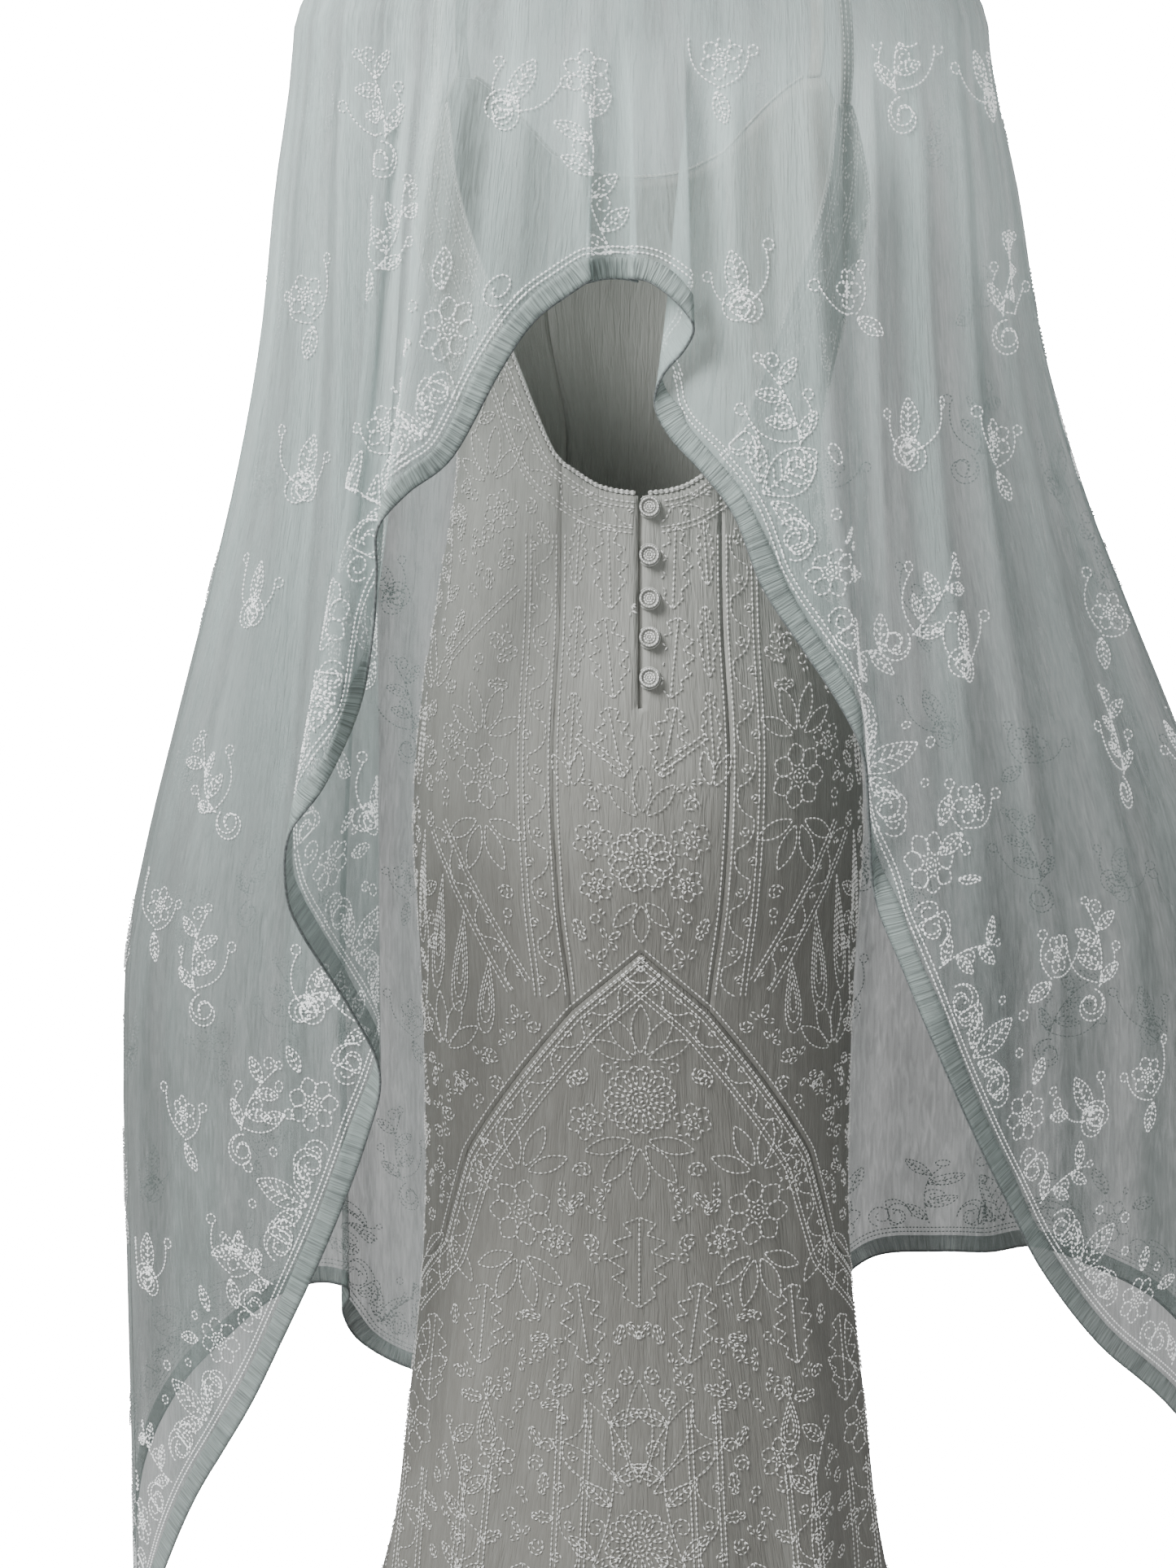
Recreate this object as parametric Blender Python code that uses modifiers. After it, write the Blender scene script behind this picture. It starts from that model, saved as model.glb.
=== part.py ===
"""A beaded bias-cut wedding gown with a sheer cape over it, in the hollow form it has when it is worn.

The gown is cut in an upper back and front with long side panels, and a lower skirt that rises between them
in a point. The cape falls from the shoulders: its hem arches high over the low back, runs down to a point
at each side and crosses the front below the knee.

Metres, +Z up. The origin lies between the shoulders, level with the underside of the straps. The back of
the gown faces -Y and its front +Y.
"""
import math

import bmesh
import bpy
from mathutils import Vector

# Cloth and seams.
GOWN_WALL = 0.0015
CAPE_WALL = 0.0010
SEAM_GAP = 0.0003

# Heights of the gown, measured from the shoulders.
HEM_Z = -1.455
FLUTE_TOP_Z = -0.98
PLACKET_END_Z = -0.560

# The figure that the gown is cut for: rows of height, half width, depth of back and depth of front.
FIGURE = (
    (-0.10, 0.158, 0.088, 0.095),
    (-0.20, 0.167, 0.100, 0.116),
    (-0.28, 0.152, 0.098, 0.122),
    (-0.38, 0.134, 0.086, 0.098),
    (-0.48, 0.148, 0.098, 0.094),
    (-0.58, 0.164, 0.120, 0.098),
    (-0.66, 0.170, 0.127, 0.100),
    (-0.74, 0.167, 0.117, 0.100),
    (-0.84, 0.164, 0.101, 0.100),
    (-0.98, 0.165, 0.094, 0.103),
    (-1.10, 0.177, 0.106, 0.116),
    (-1.25, 0.193, 0.136, 0.144),
    (-1.36, 0.222, 0.180, 0.184),
    (-1.46, 0.268, 0.236, 0.236),
)

# Flutes that open in the skirt below the knee.
FLUTES = 12
FLUTE_FIRST_DEG = 15.0
FLUTE_DEPTH = 0.020
FLUTE_DEPTH_AT_CENTRE = 0.35

# Side of the narrow centre panels: rows of height and distance from the middle.
BACK_PRINCESS = ((-0.392, 0.057), (-0.50, 0.058), (-0.60, 0.063), (-0.70, 0.059), (-0.784, 0.050))
FRONT_PRINCESS = ((-0.16, 0.066), (-0.28, 0.070), (-0.38, 0.055), (-0.60, 0.064), (-0.784, 0.050))

# Seam between the upper panels and the skirt: rows of turn from the middle, in degrees, and height.
HIP_SEAM = ((0.0, -0.738), (17.6, -0.784), (52.0, -0.904), (64.0, -0.980), (90.0, -1.030))

# Turns between which the peaks carry the straps, on the back and on the front, in degrees from the middle.
BACK_PEAK_TURNS = (59.0, 68.0)
FRONT_PEAK_TURNS = (51.0, 60.0)

# Neckline, strap peak and armhole: rows of turn from the middle, in degrees, and height.
BACK_EDGE = (
    (0.0, -0.413),
    (13.0, -0.408),
    (25.1, -0.392),
    (29.5, -0.380),
    (35.2, -0.350),
    (40.6, -0.308),
    (45.2, -0.264),
    (51.7, -0.200),
    (BACK_PEAK_TURNS[0], -0.140),
    (BACK_PEAK_TURNS[1], -0.140),
    (73.0, -0.168),
    (79.0, -0.192),
    (90.0, -0.205),
)
FRONT_EDGE = (
    (0.0, -0.182),
    (12.0, -0.178),
    (23.6, -0.164),
    (30.0, -0.148),
    (36.0, -0.134),
    (42.0, -0.123),
    (47.0, -0.116),
    (FRONT_PEAK_TURNS[0], -0.112),
    (FRONT_PEAK_TURNS[1], -0.112),
    (66.0, -0.140),
    (72.0, -0.165),
    (79.0, -0.190),
    (90.0, -0.205),
)
EDGE_TURN_OF_PRINCESS = 2
CENTRE_COLUMNS = 8
UPPER_ROWS = 12
SKIRT_ROWS = 9
HIP_SEAM_LEAN_DEG = 6.0
HIP_SEAM_TRIES = 40
SKIRT_EVENNESS = 0.75
EVEN_TURN_A_PANEL = 45.0

# Straps, between the peak of the back and the peak of the front: rows of distance from the middle, depth
# and height of the outer face's centre line, and the turn of the strap's width from straight across.
STRAP_WIDTH = 0.012
STRAP_SLOPE = 0.24
STRAP = (
    (0.1452, -0.0440, -0.1050, 40.0),
    (0.1405, -0.0400, -0.0550, 25.0),
    (0.1330, -0.0250, -0.0170, 10.0),
    (0.1290, -0.0100, -0.0020, 2.0),
    (0.1280, 0.0000, 0.0015, 0.0),
    (0.1285, 0.0120, -0.0010, -4.0),
    (0.1295, 0.0320, -0.0150, -16.0),
    (0.1315, 0.0500, -0.0520, -32.0),
    (0.1330, 0.0560, -0.0850, -40.0),
)

# Back closing: a slit, the strip behind it and five covered buttons.
SLIT_X = -0.0010
SLIT_WIDTH = 0.0030
CUTTER_MARGIN = 0.02
CUTTER_DEPTH = 0.06
UNDERLAP_WIDTH = 0.024
UNDERLAP_WALL = 0.0012
UNDERLAP_BELOW_NECK = 0.003
UNDERLAP_PAST_SLIT = 0.012
UNDERLAP_COLUMNS = 3
UNDERLAP_ROWS = 7
BUTTON_X = 0.0052
BUTTON_HEIGHTS = (-0.4205, -0.4543, -0.4848, -0.5120, -0.5399)
BUTTON_RADIUS = 0.0072
BUTTON_HEIGHT = 0.0056
BUTTON_LIFT = 0.0004
BUTTON_STEPS = 14

# A button's profile from the middle of its face to the middle of its back: shares of the radius and height.
BUTTON_PROFILE = (
    (0.0, 0.80),
    (0.52, 0.76),
    (0.66, 0.72),
    (0.84, 1.0),
    (1.0, 0.62),
    (0.86, 0.12),
    (0.5, 0.0),
    (0.0, 0.0),
)

# Corded edge along the necklines. It starts beside the slit, at a share of the centre panel's half width.
CORD_RADIUS = 0.0012
CORD_LIFT = 0.0017
CORD_START = 0.08
TURN_SLACK = 0.01

# The cape's yoke: the ring round the neck and the ring round the upper arms.
NECK_HALF_WIDTH = 0.105
NECK_DEPTH = 0.078
NECK_BACK_Z = 0.018
NECK_SIDE_Z = 0.0080
NECK_FRONT_Z = -0.032
YOKE_Z = -0.10
YOKE_HALF_WIDTH = 0.250
YOKE_BACK_DEPTH = 0.125
YOKE_FRONT_DEPTH = 0.142
YOKE_ROUNDNESS = 0.8
YOKE_DROP_POWER = 1.6
YOKE_ROWS = 4
FALL_ROWS = 6

# How the cape's fullness opens on its way down: rows of height and share of the whole spread.
SPREAD = (
    (-0.10, 0.0),
    (-0.20, 0.10),
    (-0.30, 0.18),
    (-0.40, 0.31),
    (-0.50, 0.48),
    (-0.60, 0.66),
    (-0.70, 0.83),
    (-0.78, 0.94),
    (-0.90, 0.98),
    (-1.36, 1.0),
)

# Folds of the cape's back, from the point at the left side, over the high arch, to the point at the right:
# rows of turn round the shoulders from the centre back, in degrees, and the x, y and z of the hem there.
BACK_FOLDS = (
    (-83.0, -0.403, 0.030, -1.354),
    (-73.0, -0.377, -0.010, -1.273),
    (-65.5, -0.343, -0.040, -1.190),
    (-59.0, -0.299, -0.070, -1.110),
    (-53.5, -0.265, -0.090, -1.037),
    (-49.0, -0.229, -0.100, -0.957),
    (-46.0, -0.200, -0.105, -0.880),
    (-43.7, -0.188, -0.122, -0.826),
    (-42.2, -0.206, -0.150, -0.771),
    (-40.8, -0.235, -0.192, -0.705),
    (-40.2, -0.2425, -0.2090, -0.672),
    (-38.9, -0.2385, -0.2190, -0.632),
    (-37.2, -0.216, -0.212, -0.600),
    (-34.8, -0.195, -0.178, -0.553),
    (-32.4, -0.185, -0.169, -0.505),
    (-30.0, -0.181, -0.175, -0.460),
    (-27.8, -0.179, -0.184, -0.429),
    (-24.2, -0.160, -0.175, -0.406),
    (-19.7, -0.130, -0.158, -0.382),
    (-15.0, -0.098, -0.146, -0.325),
    (-10.9, -0.075, -0.141, -0.292),
    (-7.1, -0.050, -0.139, -0.273),
    (-5.1, -0.036, -0.140, -0.264),
    (-4.4, -0.040, -0.131, -0.266),
    (-3.3, -0.027, -0.127, -0.263),
    (-2.3, -0.014, -0.127, -0.263),
    (-1.5, -0.004, -0.130, -0.265),
    (-0.8, -0.010, -0.139, -0.263),
    (0.6, 0.005, -0.143, -0.266),
    (2.4, 0.024, -0.149, -0.281),
    (3.4, 0.033, -0.151, -0.296),
    (4.0, 0.027, -0.142, -0.311),
    (4.6, 0.013, -0.131, -0.328),
    (5.3, 0.008, -0.122, -0.348),
    (6.6, 0.019, -0.124, -0.370),
    (8.6, 0.041, -0.140, -0.394),
    (11.2, 0.063, -0.152, -0.424),
    (13.9, 0.081, -0.162, -0.470),
    (17.4, 0.108, -0.168, -0.511),
    (21.0, 0.133, -0.175, -0.548),
    (24.0, 0.150, -0.180, -0.584),
    (26.8, 0.156, -0.168, -0.633),
    (29.6, 0.163, -0.152, -0.688),
    (32.5, 0.183, -0.160, -0.739),
    (36.5, 0.207, -0.165, -0.796),
    (41.6, 0.239, -0.150, -0.866),
    (48.3, 0.270, -0.130, -0.928),
    (55.4, 0.297, -0.110, -0.980),
    (64.0, 0.346, -0.080, -1.048),
    (75.0, 0.419, -0.030, -1.126),
    (86.0, 0.493, 0.030, -1.245),
)

# Folds of the cape's front, from the point at the left side, past the middle at -180, to the right side.
FRONT_FOLDS = (
    (-83.0, -0.403, 0.030, -1.354),
    (-90.0, -0.414, 0.075, -1.300),
    (-97.0, -0.412, 0.120, -1.235),
    (-104.0, -0.385, 0.150, -1.180),
    (-111.0, -0.345, 0.165, -1.140),
    (-118.0, -0.310, 0.200, -1.120),
    (-124.0, -0.275, 0.215, -1.112),
    (-128.5, -0.249, 0.205, -1.112),
    (-130.8, -0.246, 0.213, -1.124),
    (-133.0, -0.253, 0.228, -1.145),
    (-138.0, -0.240, 0.245, -1.178),
    (-146.0, -0.200, 0.232, -1.196),
    (-154.0, -0.158, 0.205, -1.192),
    (-162.0, -0.112, 0.232, -1.186),
    (-171.0, -0.060, 0.208, -1.180),
    (-180.0, 0.000, 0.238, -1.172),
    (-189.0, 0.060, 0.210, -1.160),
    (-198.0, 0.115, 0.236, -1.140),
    (-206.0, 0.165, 0.210, -1.118),
    (-214.0, 0.212, 0.226, -1.092),
    (-222.0, 0.262, 0.200, -1.078),
    (-230.0, 0.310, 0.212, -1.083),
    (-236.0, 0.348, 0.190, -1.070),
    (-243.0, 0.398, 0.180, -1.086),
    (-250.0, 0.445, 0.150, -1.105),
    (-258.0, 0.485, 0.110, -1.150),
    (-266.0, 0.500, 0.070, -1.205),
    (-274.0, 0.493, 0.030, -1.245),
)
STEPS_PER_FOLD = 2

# Gathered band along the cape's hem.
BAND_WIDTH = 0.014
BAND_WALL = 0.0008
BAND_LIFT = 0.0006
BAND_END_SHARE = 0.08
HEM_STEP = 0.5
MOST_SIDEWAYS = 0.8

# Colours and finishes of the materials: colour, roughness and metallic value.
FINISHES = {
    "gown_chiffon": ((0.60, 0.61, 0.58), 0.62, 0.0),
    "cape_chiffon": ((0.62, 0.70, 0.68), 0.60, 0.0),
    "hem_band": ((0.50, 0.57, 0.55), 0.65, 0.0),
    "button_cover": ((0.52, 0.53, 0.50), 0.45, 0.0),
    "corded_edge": ((0.66, 0.67, 0.64), 0.40, 0.0),
}


def between(a, b, share):
    """The value at a share of the way from a to b."""
    return a + (b - a) * share


def on_rows(rows, at):
    """The other columns of a table at a value of its first column, on straight lines between the rows."""
    rows = sorted(rows)
    at = min(max(at, rows[0][0]), rows[-1][0])
    for low, high in zip(rows, rows[1:]):
        if at <= high[0]:
            share = (at - low[0]) / (high[0] - low[0])
            return [between(p, q, share) for p, q in zip(low[1:], high[1:])]


def on_curve(rows, place):
    """All columns of a table at a place counted in rows, on a smooth curve through the rows."""
    first = min(int(place), len(rows) - 2)
    share = place - first
    near = [rows[min(max(first + k, 0), len(rows) - 1)] for k in (-1, 0, 1, 2)]
    return [
        0.5
        * (
            2 * b
            + (c - a) * share
            + (2 * a - 5 * b + 4 * c - d) * share**2
            + (3 * b - a - 3 * c + d) * share**3
        )
        for a, b, c, d in zip(*near)
    ]


def smooth_rows(rows, at):
    """The other columns of a table at a value of its first column, on a smooth curve through the rows."""
    rows = sorted(rows)
    at = min(max(at, rows[0][0]), rows[-1][0])
    for n, (low, high) in enumerate(zip(rows, rows[1:])):
        if at <= high[0]:
            return on_curve(rows, n + (at - low[0]) / (high[0] - low[0]))[1:]


def signed_power(value, power):
    return math.copysign(abs(value) ** power, value)


def flute(turn, z):
    """How far the skirt stands out of the figure, in its flutes, at a turn in degrees and a height."""
    open_share = max(0.0, (FLUTE_TOP_Z - z) / (FLUTE_TOP_Z - HEM_Z)) ** 1.4
    side_share = between(FLUTE_DEPTH_AT_CENTRE, 1.0, math.sin(math.radians(turn)) ** 2)
    wave = math.cos(math.radians(FLUTES * (turn - FLUTE_FIRST_DEG)))
    return FLUTE_DEPTH * open_share * side_share * wave


def gown_point(turn, z):
    """A point of the gown's outer face. The turn runs from the centre back towards +X, in degrees."""
    half_width, back, front = smooth_rows(FIGURE, z)
    angle = math.radians(turn)
    out = 1.0 + flute(turn, z) / half_width
    depth = back if math.cos(angle) > 0 else front
    return Vector((half_width * out * math.sin(angle), -depth * out * math.cos(angle), z))


def new_material(name):
    colour, roughness, metallic = FINISHES[name]
    made = bpy.data.materials.new(name)
    made.use_nodes = True
    shader = made.node_tree.nodes["Principled BSDF"]
    shader.inputs["Base Color"].default_value = (*colour, 1.0)
    shader.inputs["Roughness"].default_value = roughness
    shader.inputs["Metallic"].default_value = metallic
    return made


def add_object(name, mesh, collection, material):
    made = bpy.data.objects.new(name, mesh)
    made.data.materials.append(material)
    made.data.shade_smooth()
    collection.objects.link(made)
    return made


def cloth_from_grid(name, grid, wall, collection, material, lift=0.0):
    """A cloth piece whose outer face passes through a grid of points, with its wall on the inner side.

    The grid is a list of columns, each running down the piece, and the columns go from left to right as the
    face is seen from outside. With a lift, the whole piece lies that far outside the grid instead.
    """
    columns, rows = len(grid), len(grid[0])
    shape = bmesh.new()
    bmesh.ops.create_grid(shape, x_segments=columns - 1, y_segments=rows - 1, size=0.5)
    for vertex in shape.verts:
        column = round((vertex.co.x + 0.5) * (columns - 1))
        row = round((0.5 - vertex.co.y) * (rows - 1))
        vertex.co = grid[column][row]
    bmesh.ops.triangulate(shape, faces=shape.faces, quad_method="FIXED")
    if lift:
        shape.normal_update()
        moved = [v.co + v.normal * lift * v.calc_shell_factor() for v in shape.verts]
        for vertex, place in zip(shape.verts, moved):
            vertex.co = place
    mesh = bpy.data.meshes.new(name)
    shape.to_mesh(mesh)
    shape.free()
    made = add_object(name, mesh, collection, material)
    shell = made.modifiers.new("wall", "SOLIDIFY")
    shell.thickness = wall
    shell.offset = 1.0 if lift else -1.0
    return made


def seam_edge(edge, inside, beyond, wall):
    """Draws the edge column of a piece in, so that its wall clears the next piece by a seam gap."""
    drawn = []
    for row, point in enumerate(edge):
        along = (edge[min(row + 1, len(edge) - 1)] - edge[max(row - 1, 0)]).normalized()
        this_way = inside[row] - point
        this_way -= along * this_way.dot(along)
        other_way = beyond[row] - point
        other_way -= along * other_way.dot(along)
        lean = (math.pi - this_way.angle(other_way)) / 2
        inset = (SEAM_GAP / 2 + wall * math.sin(lean)) / math.cos(lean)
        drawn.append(point + this_way.normalized() * inset)
    return drawn


def cut_at_seams(ring, seams, wall):
    """The pieces of a closed ring of columns, cut at the columns whose numbers are listed."""
    count = len(ring)
    pieces = []
    for first, last in zip(seams, seams[1:] + [seams[0] + count]):
        piece = [list(ring[k % count]) for k in range(first, last + 1)]
        start = seam_edge(piece[0], piece[1], ring[(first - 1) % count], wall)
        end = seam_edge(piece[-1], piece[-2], ring[(last + 1) % count], wall)
        piece[0], piece[-1] = start, end
        pieces.append(piece)
    return pieces


def clear_of_hip_seam(ring, end, inner):
    """Draws the ends of a ring's columns in from the hip seam, by a gap measured square to the seam."""
    count = len(ring)
    room = SEAM_GAP / 2 + GOWN_WALL * math.sin(math.radians(HIP_SEAM_LEAN_DEG))
    drawn = []
    for k in range(count):
        along = ring[(k + 1) % count][end] - ring[k - 1][end]
        down = (ring[k][inner] - ring[k][end]).normalized()
        drawn.append(ring[k][end] + down * room / math.sin(down.angle(along)))
    for column, point in zip(ring, drawn):
        column[end] = point


def princess_turn(rows, z):
    """The turn of a princess seam from the middle, in degrees, at a height."""
    (aside,) = smooth_rows(rows, z)
    return math.degrees(math.asin(aside / smooth_rows(FIGURE, z)[0]))


def hip_seam_place(rows, column):
    """Turn and height where a column of an upper panel meets the hip seam.

    Column 0 is the middle, 1 the princess seam and 2 the side seam.
    """
    z = HIP_SEAM[0][1]
    for _ in range(HIP_SEAM_TRIES):
        turn = column_turn(rows, column, z)
        (z,) = on_rows(HIP_SEAM, turn)
    return turn, z


def column_turn(rows, column, z):
    """The turn of a column at a height: 0 is the middle, 1 the princess seam and 2 the side seam."""
    seam = princess_turn(rows, max(rows[-1][0], min(rows[0][0], z)))
    if column <= 1:
        return seam * column
    return between(seam, 90.0, column - 1)


def side_columns(edge, rows):
    """The columns of a side panel, one for each row of the edge table from the princess seam outwards."""
    seam = column_turn(rows, 1.0, rows[0][0])
    turns = [seam] + [turn for turn, _ in edge[EDGE_TURN_OF_PRINCESS + 1 :]]
    return [1.0 + (turn - seam) / (90.0 - seam) for turn in turns]


def upper_column(edge, rows, column, facing):
    """The points down one column of an upper panel, on the back or the front and on either side."""
    way = math.copysign(1.0, column)
    aside = abs(column)
    (top,) = on_rows(edge, column_turn(rows, aside, rows[0][0]))
    bottom = hip_seam_place(rows, aside)[1]
    points = []
    for row in range(UPPER_ROWS + 1):
        z = between(top, bottom, row / UPPER_ROWS)
        turn = way * column_turn(rows, aside, z)
        points.append(gown_point(turn if facing == "back" else 180.0 - turn, z))
    return points


def skirt_column(_, rows, column, facing):
    """The points down one column of the skirt, which spreads evenly round the hem."""
    way = math.copysign(1.0, column)
    turn, top = hip_seam_place(rows, abs(column))
    hem_turn = between(turn, EVEN_TURN_A_PANEL * abs(column), SKIRT_EVENNESS)
    points = []
    for row in range(SKIRT_ROWS + 1):
        share = row / SKIRT_ROWS
        at = way * between(turn, hem_turn, share)
        points.append(gown_point(at if facing == "back" else 180.0 - at, between(top, HEM_Z, share)))
    return points


def half_columns(edge, rows):
    """The columns of one half of the back or the front, from the middle to the side seam."""
    middle = [k * 2 / CENTRE_COLUMNS for k in range(CENTRE_COLUMNS // 2 + 1)]
    return middle + side_columns(edge, rows)[1:]


def ring_of(back, front, column_points):
    """The columns round the gown, from the left side seam over the back and then the front."""
    def whole(half):
        return [-c for c in reversed(half[1:])] + half

    over_back = [column_points(BACK_EDGE, BACK_PRINCESS, c, "back") for c in whole(back)]
    over_front = [column_points(FRONT_EDGE, FRONT_PRINCESS, c, "front") for c in reversed(whole(front))]
    return over_back + over_front[1:-1]


def gown_panels(collection, material):
    """The six upper panels and the two of the skirt. Returns the back's centre panel."""
    back = half_columns(BACK_EDGE, BACK_PRINCESS)
    front = half_columns(FRONT_EDGE, FRONT_PRINCESS)
    to_side, to_front_side = len(back) - 1, len(front) - 1
    centre = CENTRE_COLUMNS // 2
    upper = ring_of(back, front, upper_column)
    clear_of_hip_seam(upper, -1, -2)
    right = 2 * to_side
    middle = right + to_front_side
    seams = [0, to_side - centre, to_side + centre, right, middle - centre, middle + centre]
    names = ("back_left", "back_centre", "back_right", "front_right", "front_centre", "front_left")
    made = {}
    for name, grid in zip(names, cut_at_seams(upper, seams, GOWN_WALL)):
        made[name] = cloth_from_grid(f"{name}_panel", grid, GOWN_WALL, collection, material)
    lower = ring_of(back, front, skirt_column)
    clear_of_hip_seam(lower, 0, 1)
    for name, grid in zip(("skirt_back", "skirt_front"), cut_at_seams(lower, [0, right], GOWN_WALL)):
        cloth_from_grid(name, grid, GOWN_WALL, collection, material)
    return made["back_centre"]


def peak(edge, turns, facing):
    """The middle of a strap's end on a peak, a seam gap above it, and the turn of the peak's width."""
    (z,) = on_rows(edge, turns[0])
    near, far = (gown_point(t if facing == "back" else 180.0 - t, z) for t in turns)
    middle = (near + far) / 2
    width_turn = math.degrees(math.atan2(far.y - near.y, far.x - near.x))
    return (middle.x, middle.y, z + SEAM_GAP, width_turn)


def strap(side, way, collection, material):
    """A narrow strap from the peak of the back over the shoulder to the peak of the front."""
    back_end = peak(BACK_EDGE, BACK_PEAK_TURNS, "back")
    front_end = peak(FRONT_EDGE, FRONT_PEAK_TURNS, "front")
    rows = [(*back_end, 0.0)] + [(*row, STRAP_SLOPE) for row in STRAP] + [(*front_end, 0.0)]
    grid = []
    for across in (-STRAP_WIDTH / 2, STRAP_WIDTH / 2):
        column = []
        for aside, depth, height, width_turn, slope in rows:
            level = math.cos(math.radians(width_turn))
            x = way * (aside + across * level)
            y = depth + across * math.sin(math.radians(width_turn))
            column.append(Vector((x, y, height - slope * level**2 * across)))
        grid.append(column)
    if way > 0:
        grid.reverse()
    cloth_from_grid(f"strap_{side}", grid, GOWN_WALL, collection, material)


def outward(turn, z):
    """The direction that the gown's outer face looks in."""
    step_turn, step_z = 0.5, 0.002
    across = gown_point(turn + step_turn, z) - gown_point(turn - step_turn, z)
    up = gown_point(turn, z + step_z) - gown_point(turn, z - step_z)
    return across.cross(up).normalized()


def cut_slit(panel, collection):
    """Cuts the back closing's slit down from the neckline."""
    top = BACK_EDGE[0][1] + CUTTER_MARGIN
    middle = (top + PLACKET_END_Z) / 2
    bpy.ops.mesh.primitive_cube_add(size=1.0)
    cutter = bpy.context.object
    cutter.name = "slit_cutter"
    cutter.dimensions = (SLIT_WIDTH, CUTTER_DEPTH, top - PLACKET_END_Z)
    cutter.location = (SLIT_X, gown_point(0.0, middle).y, middle)
    for holder in list(cutter.users_collection):
        holder.objects.unlink(cutter)
    collection.objects.link(cutter)
    cutter.hide_render = True
    cutter.display_type = "WIRE"
    cut = panel.modifiers.new("slit", "BOOLEAN")
    cut.operation = "DIFFERENCE"
    cut.object = cutter


def underlap(collection, material):
    """The strip sewn behind the slit."""
    top, bottom = BACK_EDGE[0][1] - UNDERLAP_BELOW_NECK, PLACKET_END_Z - UNDERLAP_PAST_SLIT
    inside = GOWN_WALL + SEAM_GAP * 2
    grid = []
    for k in range(UNDERLAP_COLUMNS):
        x = SLIT_X + UNDERLAP_WIDTH * (k / (UNDERLAP_COLUMNS - 1) - 0.5)
        column = []
        for row in range(UNDERLAP_ROWS):
            z = between(top, bottom, row / (UNDERLAP_ROWS - 1))
            turn = math.degrees(math.asin(x / smooth_rows(FIGURE, z)[0]))
            column.append(gown_point(turn, z) - outward(turn, z) * inside)
        grid.append(column)
    cloth_from_grid("placket_underlap", grid, UNDERLAP_WALL, collection, material)


def button(number, height, collection, material):
    """A covered button: a domed disc with a rolled rim, on the slit's right edge."""
    shape = bmesh.new()
    corners = [shape.verts.new((BUTTON_RADIUS * out, 0.0, BUTTON_HEIGHT * up)) for out, up in BUTTON_PROFILE]
    edges = [shape.edges.new(pair) for pair in zip(corners, corners[1:])]
    bmesh.ops.spin(
        shape,
        geom=corners + edges,
        cent=(0.0, 0.0, 0.0),
        axis=(0.0, 0.0, 1.0),
        angle=math.tau,
        steps=BUTTON_STEPS,
        use_merge=True,
    )
    bmesh.ops.remove_doubles(shape, verts=shape.verts, dist=0.00001)
    bmesh.ops.recalc_face_normals(shape, faces=shape.faces)
    mesh = bpy.data.meshes.new(f"button_{number}")
    shape.to_mesh(mesh)
    shape.free()
    made = add_object(f"button_{number}", mesh, collection, material)
    turn = math.degrees(math.asin(BUTTON_X / smooth_rows(FIGURE, height)[0]))
    facing = outward(turn, height)
    made.location = gown_point(turn, height) + facing * BUTTON_LIFT
    made.rotation_mode = "QUATERNION"
    made.rotation_quaternion = facing.to_track_quat("Z", "Y")


def corded_edge(name, points, collection, material):
    """A round cord along a neckline, sitting on the cut edge of the panels."""
    curve = bpy.data.curves.new(name, "CURVE")
    curve.dimensions = "3D"
    curve.bevel_depth = CORD_RADIUS
    curve.bevel_resolution = 1
    curve.use_fill_caps = True
    line = curve.splines.new("POLY")
    line.points.add(len(points) - 1)
    for place, point in zip(line.points, points):
        place.co = (*point, 1.0)
    made = bpy.data.objects.new(name, curve)
    made.data.materials.append(material)
    collection.objects.link(made)


def neckline_points(facing, edge, rows, columns):
    """Points just off the cut edge of the panels, one for each column, in the middle of the wall."""
    lines = [upper_column(edge, rows, column, facing) for column in columns]
    tops = [line[0] for line in lines]
    points = []
    for k, line in enumerate(lines):
        along = (tops[min(k + 1, len(tops) - 1)] - tops[max(k - 1, 0)]).normalized()
        up = line[0] - line[1]
        off_edge = (up - along * up.dot(along)).normalized()
        inward = Vector((-line[0].x, -line[0].y, 0.0)).normalized()
        points.append(line[0] + off_edge * CORD_LIFT + inward * GOWN_WALL / 2)
    return points


def columns_to_peak(edge, rows, peak_turns):
    """The columns of a side panel from the princess seam up to the near corner of the peak."""
    last = peak_turns[0] + TURN_SLACK
    return [c for c in side_columns(edge, rows)[1:] if column_turn(rows, c, rows[0][0]) <= last]


def corded_edges(collection, material):
    """The corded neckline of the back, parted at the slit, and of the front."""
    middle = [k * 2 / CENTRE_COLUMNS for k in range(1, CENTRE_COLUMNS // 2 + 1)]
    back = [CORD_START] + middle + columns_to_peak(BACK_EDGE, BACK_PRINCESS, BACK_PEAK_TURNS)
    right = neckline_points("back", BACK_EDGE, BACK_PRINCESS, back)
    left = neckline_points("back", BACK_EDGE, BACK_PRINCESS, [-c for c in back])
    corded_edge("neck_cord_back_right", right, collection, material)
    corded_edge("neck_cord_back_left", left, collection, material)
    front = middle + columns_to_peak(FRONT_EDGE, FRONT_PRINCESS, FRONT_PEAK_TURNS)
    whole = [-c for c in reversed(front)] + [0.0] + front
    points = neckline_points("front", FRONT_EDGE, FRONT_PRINCESS, whole)
    corded_edge("neck_cord_front", points, collection, material)


def neck_height(turn):
    """Height of the cape's neckline at a turn from the centre back, in degrees."""
    facing = math.cos(math.radians(turn))
    return between(NECK_SIDE_Z, NECK_BACK_Z if facing > 0 else NECK_FRONT_Z, facing**2)


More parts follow.
